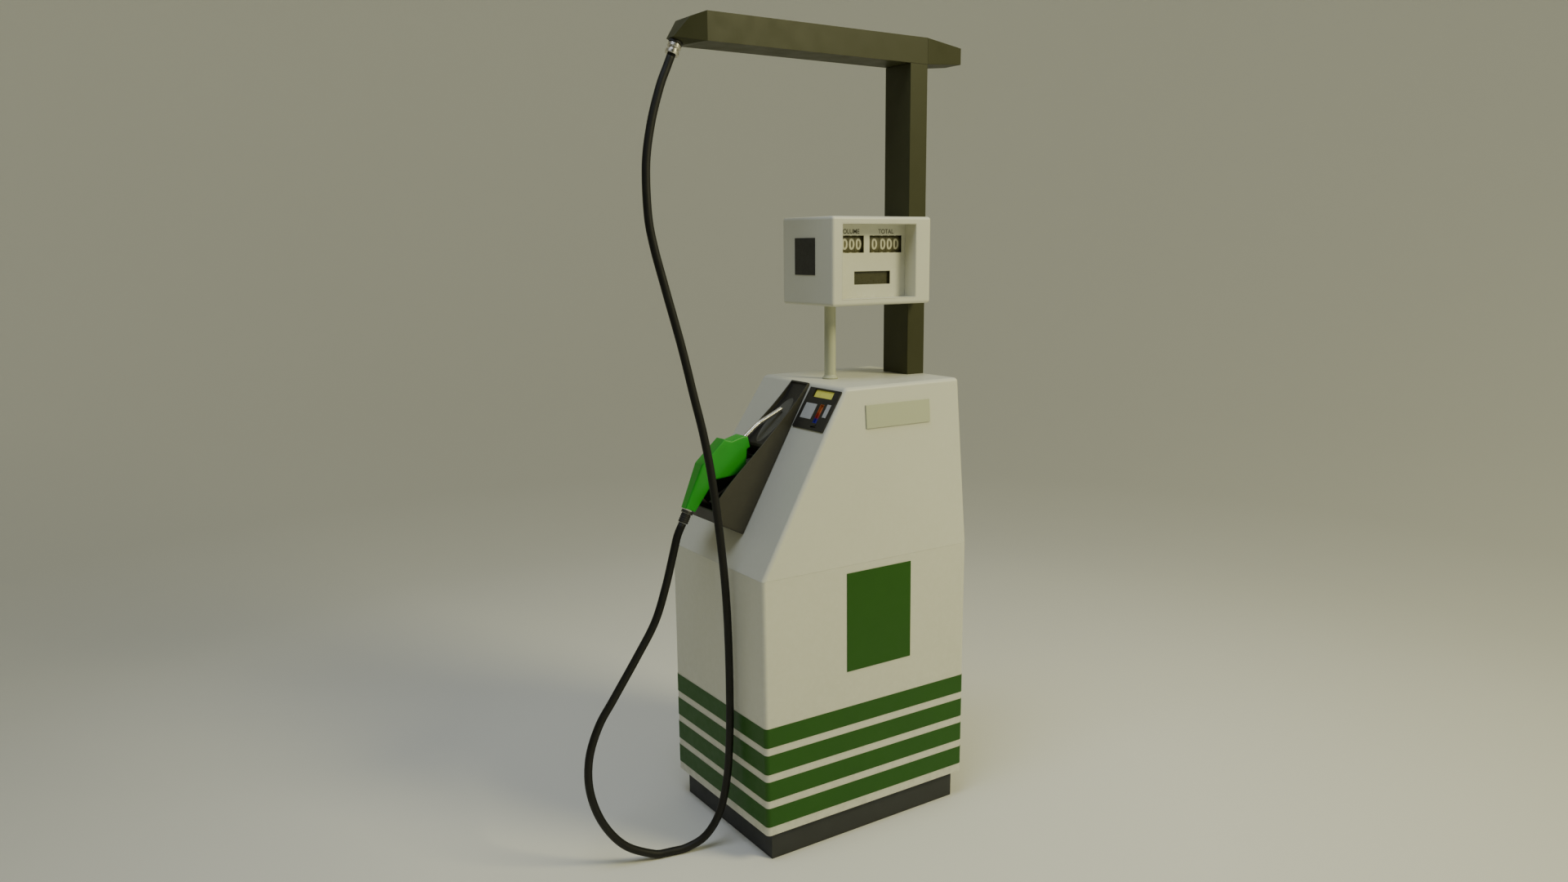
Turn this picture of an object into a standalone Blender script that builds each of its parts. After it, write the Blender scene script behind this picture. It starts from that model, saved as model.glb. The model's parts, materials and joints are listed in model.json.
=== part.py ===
"""A free-standing fuel dispenser: cabinet, display head on a pole, mast with an overhead arm,
hose, nozzle in its boot, and the pumping works inside.

Metres, +Z up. The origin is the centre of the base on the floor. The wide display face looks
along -Y and the narrow nozzle face along -X.
"""

import math

import bmesh
import bpy
from mathutils import Matrix, Vector

# Driving dimensions -------------------------------------------------------------------------

GAP = 0.0003  # clearance kept between two pieces that touch
SHEET = 0.0025  # cabinet sheet metal
EDGE = 0.012  # radius of the cabinet's folded edges

PLINTH_HALF = (0.349, 0.2515)
PLINTH_TOP = 0.0868
SHELL_FOOT = 0.0871
CREASE = 0.854
ROOF = 1.3737
FOOT_HALF = (0.375, 0.271)
CREASE_HALF = (0.382, 0.266)
ROOF_X = (-0.0596, 0.3765)
ROOF_HALF_Y = 0.222

STRIPE_COUNT = 4
STRIPE_FIRST = 0.1143
STRIPE_HEIGHT = 0.0583
STRIPE_PITCH = 0.0815

MAST_X = (0.303, 0.371)
MAST_HALF_Y = 0.061
MAST_WALL = 0.004
MAST_FOOT = 0.8403
ARM_Z = (2.329, 2.4075)
ARM_LEFT = -0.4087
CAP_END_X = 0.529

POLE_X = 0.0436
POLE_RADIUS = 0.0176

HEAD_LOW = (-0.0436, -0.132, 1.603)
HEAD_HIGH = (0.3342, 0.132, 1.8664)
HEAD_WALL = 0.004
SCREEN_LOW = (-0.0055, 1.624)
SCREEN_HIGH = (0.273, 1.844)
DIAL_FRONT = -0.0796

WHEEL_RADIUS = 0.066
WHEEL_WIDTH = 0.0250
WHEEL_BORE = 0.0045
WHEEL_Z = 1.7848
WHEEL_Y = DIAL_FRONT + 0.0095 + WHEEL_RADIUS
VOLUME_WHEELS_X = (0.0222, 0.0475, 0.0733, 0.0990)
TOTAL_WHEELS_X = (0.1598, 0.1925, 0.2182, 0.2441)
SPACERS_X = ((-0.0050, 0.0092), (0.1120, 0.1468), (0.1728, 0.1795), (0.2571, 0.2660))
SPACER_RADIUS = 0.0655

HOSE_RADIUS = 0.0117
OUTLET = (-0.472, 0.0, 2.330)  # middle of the arm's tilted outlet face
OUTLET_LEAN = math.radians(24)  # hose coupling, from vertical
INLET = (-0.468, 0.0, 1.024)  # end of the nozzle's grip
INLET_LEAN = math.radians(27)
NOZZLE_PITCH = math.radians(45.3)  # nozzle's long axis above horizontal

# The hose's centre line from the arm to the nozzle, at its real length.
HOSE_ROUTE = (
    (-0.4880, 0.000, 2.2941), (-0.5031, 0.000, 2.2602), (-0.5260, -0.001, 2.2080),
    (-0.5560, -0.003, 2.1130), (-0.5770, -0.008, 2.0040), (-0.5810, -0.018, 1.8740),
    (-0.5710, -0.027, 1.7860), (-0.5450, -0.042, 1.6640), (-0.5100, -0.062, 1.5060),
    (-0.4850, -0.080, 1.3690), (-0.4640, -0.096, 1.2530), (-0.4450, -0.106, 1.1240),
    (-0.4260, -0.112, 0.9540), (-0.4130, -0.114, 0.8060), (-0.4060, -0.114, 0.6560),
    (-0.4040, -0.114, 0.4790), (-0.4060, -0.112, 0.3400), (-0.4150, -0.108, 0.2150),
    (-0.4380, -0.100, 0.1080), (-0.4820, -0.088, 0.0400), (-0.5400, -0.074, 0.0140),
    (-0.5850, -0.065, 0.0122), (-0.6320, -0.056, 0.0150), (-0.7220, -0.042, 0.0640),
    (-0.7850, -0.031, 0.1490), (-0.8170, -0.023, 0.2510), (-0.8130, -0.016, 0.3470),
    (-0.7780, -0.011, 0.4350), (-0.7260, -0.008, 0.5070), (-0.6490, -0.005, 0.6130),
    (-0.5870, -0.003, 0.7060), (-0.5490, -0.001, 0.8020), (-0.5210, 0.000, 0.8960),
    (-0.5048, 0.000, 0.9518), (-0.4868, 0.000, 0.9871),
)

COLOURS = {  # finish: (linear colour, roughness, metallic)
    "cream_paint": ((0.42, 0.42, 0.33), 0.45, 0.0),
    "mast_paint": ((0.075, 0.066, 0.028), 0.5, 0.0),
    "plinth_paint": ((0.03, 0.028, 0.024), 0.6, 0.0),
    "green_film": ((0.025, 0.10, 0.008), 0.4, 0.0),
    "grey_film": ((0.36, 0.37, 0.29), 0.5, 0.0),
    "boot_plastic": ((0.035, 0.034, 0.018), 0.45, 0.0),
    "black_plastic": ((0.012, 0.011, 0.009), 0.45, 0.0),
    "grey_plastic": ((0.35, 0.36, 0.37), 0.5, 0.0),
    "lcd_yellow": ((0.42, 0.42, 0.09), 0.35, 0.0),
    "lcd_dark": ((0.06, 0.06, 0.02), 0.3, 0.0),
    "grey_plastic_dark": ((0.055, 0.055, 0.045), 0.5, 0.0),
    "guide_colours": ((0.5, 0.09, 0.02), 0.4, 0.0),
    "wheel_black": ((0.05, 0.05, 0.02), 0.5, 0.0),
    "nozzle_green": ((0.015, 0.25, 0.01), 0.4, 0.0),
    "cast_metal": ((0.45, 0.45, 0.44), 0.4, 1.0),
    "bright_metal": ((0.62, 0.61, 0.58), 0.3, 1.0),
    "steel": ((0.35, 0.35, 0.35), 0.4, 1.0),
    "works_paint": ((0.10, 0.13, 0.16), 0.5, 0.0),
    "hose_rubber": ((0.018, 0.017, 0.013), 0.6, 0.0),
}


# Tools for making shapes ----------------------------------------------------------------------

for stale in list(bpy.data.objects):
    bpy.data.objects.remove(stale, do_unlink=True)

PARTS = bpy.data.collections.new("fuel_dispenser")
CUTTERS = bpy.data.collections.new("cutters")
bpy.context.scene.collection.children.link(PARTS)
bpy.context.scene.collection.children.link(CUTTERS)


def finish_of(name):
    """The material of that finish, made on its first use."""
    material = bpy.data.materials.get(name)
    if material is None:
        colour, roughness, metallic = COLOURS[name]
        material = bpy.data.materials.new(name)
        material.use_nodes = True
        shader = material.node_tree.nodes["Principled BSDF"]
        shader.inputs["Base Color"].default_value = (*colour, 1.0)
        shader.inputs["Roughness"].default_value = roughness
        shader.inputs["Metallic"].default_value = metallic
    return material


def place(name, data, finish=None, frame=None):
    """An object of that mesh or curve: a part where it has a finish, a hidden cutter where not."""
    item = bpy.data.objects.new(name, data)
    (PARTS if finish else CUTTERS).objects.link(item)
    if finish:
        data.materials.append(finish_of(finish))
    else:
        item.hide_render = True
        item.display_type = "WIRE"
    item.parent = frame
    return item


def solid(name, shape, finish=None, frame=None):
    """An object from a bmesh, with flat faces where it is creased and smooth ones elsewhere."""
    bmesh.ops.recalc_face_normals(shape, faces=shape.faces)
    mesh = bpy.data.meshes.new(name)
    shape.to_mesh(mesh)
    shape.free()
    mesh.shade_smooth()
    mesh.set_sharp_from_angle(angle=math.radians(35))
    return place(name, mesh, finish, frame)


def add_box(shape, low, high):
    """Adds a box between two corners."""
    low, high = Vector(low), Vector(high)
    matrix = Matrix.Translation((low + high) / 2) @ Matrix.Diagonal((*(high - low), 1.0))
    bmesh.ops.create_cube(shape, size=1.0, matrix=matrix)


def add_rod(shape, start, end, radius, sides=20, end_radius=None):
    """Adds a cylinder or cone between two points."""
    start, end = Vector(start), Vector(end)
    turn = (end - start).to_track_quat("Z", "Y").to_matrix().to_4x4()
    bmesh.ops.create_cone(
        shape, cap_ends=True, segments=sides, radius1=radius,
        radius2=radius if end_radius is None else end_radius,
        depth=(end - start).length, matrix=Matrix.Translation((start + end) / 2) @ turn,
    )


def box(name, low, high, finish=None, frame=None, edge=0.0):
    shape = bmesh.new()
    add_box(shape, low, high)
    if edge:
        bmesh.ops.bevel(shape, geom=shape.edges[:], offset=edge, segments=2, profile=0.5, affect="EDGES")
    return solid(name, shape, finish, frame)


def rod(name, start, end, radius, finish=None, frame=None, sides=20, end_radius=None):
    shape = bmesh.new()
    add_rod(shape, start, end, radius, sides, end_radius)
    return solid(name, shape, finish, frame)


def hull(name, corners, finish=None, frame=None):
    """A faceted solid through these corners."""
    shape = bmesh.new()
    for corner in corners:
        shape.verts.new(corner)
    bmesh.ops.convex_hull(shape, input=shape.verts[:])
    return solid(name, shape, finish, frame)


def boolean(item, others, operation):
    for other in others:
        step = item.modifiers.new(other.name, "BOOLEAN")
        step.operation = operation
        step.object = other
    return item


def cut(item, *cutters):
    return boolean(item, cutters, "DIFFERENCE")


def join(item, *others):
    return boolean(item, others, "UNION")


def turned(name, profile, finish=None, frame=None, steps=24):
    """A turned piece: (radius, height) pairs that run down its outer side."""
    mesh = bpy.data.meshes.new(name)
    points = [(radius, 0.0, height) for radius, height in profile]
    edges = [(i, i + 1) for i in range(len(points) - 1)]
    if profile[0][0] > 0:
        edges.append((len(points) - 1, 0))
    mesh.from_pydata(points, edges, [])
    item = place(name, mesh, finish, frame)
    screw = item.modifiers.new("Turn", "SCREW")
    screw.steps = screw.render_steps = steps
    screw.use_merge_vertices = True
    screw.merge_threshold = 0.00001
    return item


def to_mesh(item):
    """Makes a curve a mesh, with its caps welded, so that it can be cut."""
    graph = bpy.context.evaluated_depsgraph_get()
    mesh = bpy.data.meshes.new_from_object(item.evaluated_get(graph))
    shape = bmesh.new()
    shape.from_mesh(mesh)
    bmesh.ops.remove_doubles(shape, verts=shape.verts, dist=0.00001)
    bmesh.ops.recalc_face_normals(shape, faces=shape.faces)
    shape.to_mesh(mesh)
    shape.free()
    mesh.shade_smooth()
    mesh.set_sharp_from_angle(angle=math.radians(35))
    name, frame, matrix = item.name, item.parent, item.matrix_basis.copy()
    finish = None if item.hide_render else item.data.materials[0].name
    mesh.materials.clear()
    bpy.data.objects.remove(item)
    made = place(name, mesh, finish, frame)
    made.matrix_basis = matrix
    return made


def tube(name, points, radius, finish=None, frame=None, rings=2):
    """A round bar or hose along a polyline, as a mesh with closed ends."""
    curve = bpy.data.curves.new(name, "CURVE")
    curve.dimensions = "3D"
    curve.bevel_depth = radius
    curve.bevel_resolution = rings
    curve.use_fill_caps = True
    line = curve.splines.new("POLY")
    line.points.add(len(points) - 1)
    for point, place_at in zip(line.points, points):
        point.co = (*place_at, 1.0)
    return to_mesh(place(name, curve, finish, frame))


def plate(name, outline, thickness, finish=None, frame=None, upright=False):
    """A flat outline given thickness both ways; upright turns its Y axis to the frame's Z."""
    curve = bpy.data.curves.new(name, "CURVE")
    curve.dimensions = "2D"
    curve.fill_mode = "BOTH"
    curve.extrude = thickness / 2
    line = curve.splines.new("POLY")
    line.points.add(len(outline) - 1)
    for point, (x, y) in zip(line.points, outline):
        point.co = (x, y, 0.0, 1.0)
    line.use_cyclic_u = True
    item = place(name, curve, finish, frame)
    if upright:
        item.rotation_euler.x = math.pi / 2
    return to_mesh(item)


def smooth_line(points, step):
    """Points a step apart along a Catmull-Rom curve through the given ones."""
    knots = [Vector(p) for p in points]
    knots = [2 * knots[0] - knots[1], *knots, 2 * knots[-1] - knots[-2]]
    line = [knots[1]]
    for a, b, c, d in zip(knots, knots[1:], knots[2:], knots[3:]):
        pieces = max(1, round((c - b).length / step))
        for i in range(1, pieces + 1):
            t = i / pieces
            line.append(
                0.5 * (2 * b + (c - a) * t + (2 * a - 5 * b + 4 * c - d) * t * t
                       + (3 * b - a - 3 * c + d) * t ** 3)
            )
    return line


def offset_outline(outline, distance):
    """A closed outline moved inwards by a distance, or outwards where it is negative."""
    points = [Vector(p) for p in outline]
    area = sum(a.x * b.y - b.x * a.y for a, b in zip(points, points[1:] + points[:1]))
    side = distance * math.copysign(1.0, area)
    moved = []
    for before, here, after in zip(points[-1:] + points[:-1], points, points[1:] + points[:1]):
        first, second = (here - before).normalized(), (after - here).normalized()
        inward = Vector((-first.y, first.x)) + Vector((-second.y, second.x))
        moved.append(here + inward * (2 * side / inward.length_squared))
    return moved


def strap(name, line, thickness, width, finish=None, frame=None):
    """A flat bar that follows a line in the frame's XZ plane."""
    points = [Vector(p) for p in line]
    upper, lower = [], []
    for i, here in enumerate(points):
        along = (points[min(i + 1, len(points) - 1)] - points[max(i - 1, 0)]).normalized()
        across = Vector((-along.y, along.x)) * thickness / 2
        upper.append(here + across)
        lower.append(here - across)
    return plate(name, upper + lower[::-1], width, finish, frame, upright=True)


def set_origin(item, point):
    """Moves an object's origin, in its frame, without moving its shape."""
    inverse = item.matrix_basis.inverted()
    item.data.transform(Matrix.Translation(-(inverse @ Vector(point))))
    item.location = Vector(point)


def frame_at(name, origin, matrix=None, parent=None):
    """An empty that a group of pieces is placed from."""
    empty = bpy.data.objects.new(name, None)
    empty.empty_display_size = 0.05
    PARTS.objects.link(empty)
    empty.parent = parent
    empty.matrix_basis = Matrix.Translation(origin) @ (matrix or Matrix()).to_4x4()
    return empty


def frustum(shape, low, high, edge=0.0, keep=None, segments=6):
    """Adds a box whose base (x0, x1, y0, y1, z) and top differ, with rounded edges but for kept ones."""
    bmesh.ops.create_cube(shape, size=2.0)
    for vertex in shape.verts:
        x0, x1, y0, y1, z = high if vertex.co.z > 0 else low
        vertex.co = (x1 if vertex.co.x > 0 else x0, y1 if vertex.co.y > 0 else y0, z)
    if edge:
        rounded = [e for e in shape.edges if keep is None or not keep(e)]
        bmesh.ops.bevel(shape, geom=rounded, offset=edge, segments=segments, profile=0.5, affect="EDGES")


def level(edge):
    """Whether an edge lies flat."""
    return abs(edge.verts[0].co.z - edge.verts[1].co.z) < 1e-6


# The cabinet's own geometry -------------------------------------------------------------------


def shell_half(z):
    """Half width and half depth of the lower shell at a height."""
    t = (z - SHELL_FOOT) / (CREASE - SHELL_FOOT)
    return [foot + (crease - foot) * t for foot, crease in zip(FOOT_HALF, CREASE_HALF)]


def shell_section(z, out=0.0):
    half_x, half_y = shell_half(z)
    return (-half_x - out, half_x + out, -half_y - out, half_y + out, z)


SHELL_LEAN = math.atan((FOOT_HALF[1] - CREASE_HALF[1]) / (CREASE - SHELL_FOOT))


def hood_half_y(z):
    return CREASE_HALF[1] + (ROOF_HALF_Y - CREASE_HALF[1]) * (z - CREASE) / (ROOF - CREASE)


SLOPE = Vector((ROOF_X[0] + CREASE_HALF[0], 0.0, ROOF - CREASE)).normalized()
SLOPE_OUT = Vector((-SLOPE.z, 0.0, SLOPE.x))
SLOPE_RIGHT = Vector((0.0, -1.0, 0.0))
SLOPE_AXES = Matrix((SLOPE_RIGHT, SLOPE, SLOPE_OUT)).transposed()

slope_frame = frame_at("slope_frame", (-CREASE_HALF[0], 0.0, CREASE), SLOPE_AXES)


def make_base():
    """A folded plinth with bolting flanges, and the machine frame that stands on it."""
    half_x, half_y = PLINTH_HALF
    wall, flange = 0.003, 0.045
    plinth = box("base_plinth", (-half_x, -half_y, 0), (half_x, half_y, PLINTH_TOP), "plinth_paint")
    hollow = box("plinth_hollow", (-half_x + wall, -half_y + wall, wall),
                 (half_x - wall, half_y - wall, PLINTH_TOP - wall))
    mouth = box("plinth_mouth", (-half_x + flange, -half_y + flange, -0.01),
                (half_x - flange, half_y - flange, PLINTH_TOP + 0.01))
    member = box("plinth_member", (-0.04, -half_y + wall / 2, 0), (0.04, half_y - wall / 2, 0.004))
    cut(plinth, hollow, mouth)
    join(plinth, member)
    for x in (-0.31, 0.31):
        for y in (-0.22, 0.22):
            cut(plinth, rod(f"anchor_hole_{x}_{y}", (x, y, -0.01), (x, y, 0.01), 0.008, sides=12))

    post, low, high, shelf = 0.025, 0.0874, MAST_FOOT - GAP, 0.470
    out_x, out_y, step = 0.3665, 0.245, 0.0006
    frame = box("machine_frame", (-out_x, -out_y, low), (out_x, out_y, low + 0.005), "works_paint")
    pieces = []
    for x in (-out_x + step, out_x - step - post):
        for y in (-out_y + step, out_y - step - post):
            pieces.append(box(f"upright_{x}_{y}", (x, y, low + step), (x + post, y + post, high - step)))
    for z in (shelf + step, high - 2 * step - post):
        for y in (-out_y + 2 * step, out_y - 2 * step - post):
            pieces.append(box(f"long_rail_{z}_{y}", (-out_x + 2 * step, y, z), (out_x - 2 * step, y + post, z + post)))
    in_y = out_y - 3 * step
    pieces.append(box("shelf", (-out_x + 3 * step, -in_y, shelf), (out_x - 3 * step, in_y, shelf + 0.004)))
    pieces.append(box("mast_beam", (0.296, -in_y, high - post), (0.372, in_y, high)))
    join(frame, *pieces)
    cut(
        frame,
        rod("suction_hole", (-0.14, 0.0, 0.05), (-0.14, 0.0, 0.12), 0.024),
        rod("feed_hole", (0.0, 0.0, 0.44), (0.0, 0.0, 0.50), 0.022),
        rod("delivery_hole", (0.337, 0.0, 0.78), (0.337, 0.0, 0.86), 0.021),
    )


def make_cabinet():
    """The lower shell, the sloped hood, the service door and its lock and hinge."""
    shape = bmesh.new()
    frustum(shape, shell_section(SHELL_FOOT), shell_section(CREASE), EDGE, level)
    shell = solid("cabinet_shell", shape, "cream_paint")
    shape = bmesh.new()
    low, high = SHELL_FOOT - 0.05, CREASE + 0.05
    frustum(shape, shell_section(low, -SHEET), shell_section(high, -SHEET), EDGE - SHEET, level)
    cut(shell, solid("shell_inside", shape))

    shape = bmesh.new()
    half_x, half_y = CREASE_HALF
    base = (-half_x, half_x, -half_y, half_y, CREASE + GAP)
    top = (*ROOF_X, -ROOF_HALF_Y, ROOF_HALF_Y, ROOF)
    frustum(shape, base, top, EDGE, lambda e: level(e) and e.verts[0].co.z < 1.0)
    hood = solid("cabinet_hood", shape, "cream_paint")
    shape = bmesh.new()
    lower = 0.04
    run = (ROOF_X[0] + half_x) / (ROOF - CREASE)
    lean = (half_x - ROOF_X[1]) / (ROOF - CREASE)
    inner_base = (-half_x - run * lower + 0.003, half_x + lean * lower - SHEET,
                  -hood_half_y(CREASE - lower) + SHEET, hood_half_y(CREASE - lower) - SHEET, CREASE - lower)
    top_z = ROOF - SHEET
    inner_top = (ROOF_X[0] - run * SHEET + 0.003, ROOF_X[1] - SHEET,
                 -hood_half_y(top_z) + SHEET, hood_half_y(top_z) - SHEET, top_z)
    frustum(shape, inner_base, inner_top, EDGE - SHEET, lambda e: level(e) and e.verts[0].co.z < 1.0)
    cut(
        hood,
        solid("hood_inside", shape),
        rod("shaft_hole", (POLE_X, 0, ROOF - 0.02), (POLE_X, 0, ROOF + 0.02), 0.012),
        box("mast_hole", (MAST_X[0] - GAP * 2, -MAST_HALF_Y - GAP * 2, ROOF - 0.05),
            (MAST_X[1] + GAP * 2, MAST_HALF_Y + GAP * 2, ROOF + 0.05)),
        box("panel_hole", (0.076, 0.482, -0.03), (0.204, 0.593, 0.03), frame=slope_frame),
    )
    make_door(shell)


def make_door(shell):
    """A flush service door in the back of the shell, above the stripes."""
    low_z, high_z, half_x = 0.450, 0.800, 0.250
    face = frame_at("door_frame", (0, shell_half(low_z)[1], low_z), Matrix.Rotation(SHELL_LEAN, 3, "X"))
    height = high_z - low_z
    cut(shell, box("door_opening", (-half_x, -0.02, 0), (half_x, 0.02, height), frame=face))
    door = box("service_door", (-half_x + 0.0015, -0.0022, 0.0015), (half_x - 0.0015, 0.0, height - 0.0015),
               "cream_paint", face)
    stiffener = box("door_stiffener", (-half_x + 0.03, -0.014, 0.03), (half_x - 0.03, -0.001, height - 0.03))
    stiffener.parent = face
    tray = box("door_tray", (-half_x + 0.0325, -0.020, 0.0325), (half_x - 0.0325, -0.0021, height - 0.0325),
               frame=face)
    lock_x, lock_z = -half_x + 0.018, height / 2
    join(door, stiffener)
    cut(door, tray, rod("lock_hole", (lock_x, -0.03, lock_z), (lock_x, 0.03, lock_z), 0.0083, frame=face))
    pivot = (half_x + 0.0030, 0.0045, height / 2)
    set_origin(door, pivot)

    barrel = rod("hinge_barrel", (pivot[0], pivot[1], 0.01), (pivot[0], pivot[1], height - 0.01), 0.0036,
                 frame=face, sides=12)
    leaf = box("hinge_leaf", (pivot[0] - 0.001, -0.001, 0.01), (pivot[0] + 0.006, 0.004, height - 0.01), frame=face)
    join(shell, barrel, leaf)

    lock = rod("door_lock", (lock_x, -0.0180, lock_z), (lock_x, 0.0042, lock_z), 0.0080, "bright_metal", face)
    collar = rod("lock_collar", (lock_x, GAP, lock_z), (lock_x, 0.0030, lock_z), 0.0120, frame=face)
    cam = box("lock_cam", (lock_x - 0.006, -0.0180, lock_z - 0.030), (lock_x + 0.006, -0.0150, lock_z + 0.004),
              frame=face)
    slot = box("key_slot", (lock_x - 0.0008, 0.0020, lock_z - 0.004), (lock_x + 0.0008, 0.0060, lock_z + 0.004),
               frame=face)
    join(lock, collar, cam)
    cut(lock, slot)
    set_origin(lock, (lock_x, 0.0, lock_z))


def make_trim():
    """The stripes round the shell, the green panel and the blank name plate."""
    film, stand = 0.0008, GAP
    out = stand + film
    foot, head = STRIPE_FIRST, STRIPE_FIRST + 3 * STRIPE_PITCH + STRIPE_HEIGHT
    bands = []
    for i in range(STRIPE_COUNT):
        low = STRIPE_FIRST + i * STRIPE_PITCH
        high = low + STRIPE_HEIGHT
        shape = bmesh.new()
        frustum(shape, shell_section(low, out), shell_section(high, out), EDGE + out, level)
        bands.append(solid("stripe_bands", shape, None if i else "green_film"))
    back = shell_half(foot)[1] + out
    seam = frame_at("seam_frame", (0, back, foot), Matrix.Rotation(SHELL_LEAN, 3, "X"))
    bands.append(box("stripe_seam", (-0.004, -0.004, 0.001), (0.004, -0.0001, head - foot - 0.001), frame=seam))
    join(*bands)
    shape = bmesh.new()
    low, high = foot - 0.01, head + 0.01
    frustum(shape, shell_section(low, stand), shell_section(high, stand), EDGE + stand, level)
    cut(bands[0], solid("stripe_inside", shape))

    low_z, high_z = 0.5278, 0.8310
    face = frame_at("badge_frame", (0, -shell_half(low_z)[1], low_z), Matrix.Rotation(-SHELL_LEAN, 3, "X"))
    box("badge_panel", (-0.0882, -0.0018, 0), (0.1542, -GAP, high_z - low_z), "green_film", face)

    lean = math.atan((CREASE_HALF[1] - ROOF_HALF_Y) / (ROOF - CREASE))
    low_z, high_z = 1.2487, 1.3184
    face = frame_at("plate_frame", (0, -hood_half_y(low_z), low_z), Matrix.Rotation(-lean, 3, "X"))
    box("name_plate", (0.0063, -0.0045, 0), (0.2507, -0.0004, (high_z - low_z) / math.cos(lean)),
        "grey_film", face, edge=0.0008)


# Boot, its spout pad and the switch lever ------------------------------------------------------

BOOT_FOOT, BOOT_HEAD = 0.1064, 0.606  # distances up the slope
BOOT_HALF = (0.0767, 0.0455)  # half widths at the foot and the head
BOOT_WALL = 0.004
BOOT_SIDE = (
    (BOOT_HEAD, 0.0004), (BOOT_HEAD, 0.008), (0.552, 0.0180), (0.508, 0.0280), (0.440, 0.0470),
    (0.365, 0.0690), (0.2535, 0.1055), (0.205, 0.1195), (0.158, 0.1300), (0.1350, 0.1310), (0.1235, 0.1270),
    (0.0978, 0.0950), (BOOT_FOOT, 0.0004),
)
BOOT_HOLLOW = (
    (0.6000, 0.0040), (0.5520, 0.0060), (0.3720, 0.0535), (0.3640, 0.0480), (0.3520, 0.0060),
    (0.1130, 0.0060), (0.1024, 0.0945), (0.1270, 0.1250), (0.1270, 0.2500), (0.6000, 0.2500),
)
PAD_CENTRE = (0.0, 0.463, 0.0295)
PAD_LEAN = math.atan((0.0535 - 0.0060) / (0.5520 - 0.3720))


def boot_half(up):
    t = (up - BOOT_FOOT) / (BOOT_HEAD - BOOT_FOOT)
    return BOOT_HALF[0] + (BOOT_HALF[1] - BOOT_HALF[0]) * t


def boot_prism(name, side, inset, finish=None):
    """A side outline (up the slope, out) made as wide as the boot is at each height."""
    shape_item = plate(name, side, 0.02, finish, slope_frame)
    for vertex in shape_item.data.vertices:
        up, out, across = vertex.co
        vertex.co = (math.copysign(boot_half(up) - inset, across), up, out)
    shape = bmesh.new()
    shape.from_mesh(shape_item.data)
    bmesh.ops.recalc_face_normals(shape, faces=shape.faces)
    shape.to_mesh(shape_item.data)
    shape.free()
    return shape_item


def oval(name, half_x, half_y, low, high, finish=None, frame=None, sides=28):
    shape = bmesh.new()
    add_rod(shape, (0, 0, low), (0, 0, high), 1.0, sides)
    bmesh.ops.scale(shape, vec=(half_x, half_y, 1.0), verts=shape.verts)
    return solid(name, shape, finish, frame)


def make_boot():
    tray = boot_prism("boot_tray", BOOT_SIDE, 0.0, "boot_plastic")
    pad_frame = frame_at("pad_frame", PAD_CENTRE, Matrix.Rotation(-PAD_LEAN, 3, "X"), slope_frame)
    cut(tray, boot_prism("boot_hollow", BOOT_HOLLOW, BOOT_WALL),
        oval("pad_recess", 0.0343, 0.0883, -0.0035, 0.02, frame=pad_frame))
    pad = oval("spout_pad", 0.0340, 0.0880, -0.0032, -0.0002, "grey_plastic_dark", pad_frame)
    cut(pad, oval("pad_dish", 0.0300, 0.0840, -0.0016, 0.02, frame=pad_frame))

    lever_frame = frame_at("lever_frame", (0, 0, 0), Matrix.Rotation(-math.pi / 2, 3, "Z"), slope_frame)
    pivot = (-0.340, 0.0, 0.0170)
    line = ((-0.340, 0.017), (-0.325, 0.036), (-0.308, 0.056), (-0.282, 0.0598))
    lever = strap("boot_switch_lever", line, 0.0030, 0.036, "cast_metal", lever_frame)
    hub = rod("lever_hub", (pivot[0], -0.018, pivot[2]), (pivot[0], 0.018, pivot[2]), 0.0055, frame=lever_frame)
    bore = rod("lever_bore", (pivot[0], -0.03, pivot[2]), (pivot[0], 0.03, pivot[2]), 0.0032, frame=lever_frame)
    join(lever, hub)
    cut(lever, bore)
    half = boot_half(0.340) - BOOT_WALL / 2
    pin = rod("lever_pin", (pivot[0], -half, pivot[2]), (pivot[0], half, pivot[2]), 0.0029, frame=lever_frame, sides=12)
    join(tray, pin)
    set_origin(lever, pivot)


def make_control_panel():
    """The panel by the boot: display, sealed keypad, card guide and receipt strip."""
    panel = box("control_panel", (0.0612, 0.4636, 0.0004), (0.2159, 0.5962, 0.0055), "black_plastic",
                slope_frame, edge=0.0010)
    modules = {  # name: (low corner, high corner, height of the face, finish)
        "panel_display": ((0.0908, 0.5662), (0.1878, 0.5914), -0.0005, "lcd_yellow"),
        "keypad": ((0.0790, 0.4946), (0.1343, 0.5451), 0.0066, "grey_plastic"),
        "card_guide": ((0.1495, 0.4858), (0.1690, 0.5470), 0.0050, "guide_colours"),
        "receipt_strip": ((0.1830, 0.5070), (0.2015, 0.5497), 0.0064, "grey_plastic"),
    }
    for name, (low, high, face, finish) in modules.items():
        cut(panel, box(f"{name}_window", (*low, -0.01), (*high, 0.02), frame=slope_frame))
        module = box(name, (low[0] + GAP, low[1] + GAP, -0.0090), (high[0] - GAP, high[1] - GAP, face), finish,
                     slope_frame)
        if name == "card_guide":
            wall = 0.0012
            cut(module, box("guide_channel", (low[0] + wall, low[1] + wall, -0.0030),
                            (high[0] - wall, high[1] - wall, 0.02), frame=slope_frame))
    slot = box("card_slot", (0.1500, 0.4710, 0.0025), (0.1760, 0.4750, 0.02), frame=slope_frame)
    cut(panel, slot)


# Mast, arm and hose outlet ---------------------------------------------------------------------


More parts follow.
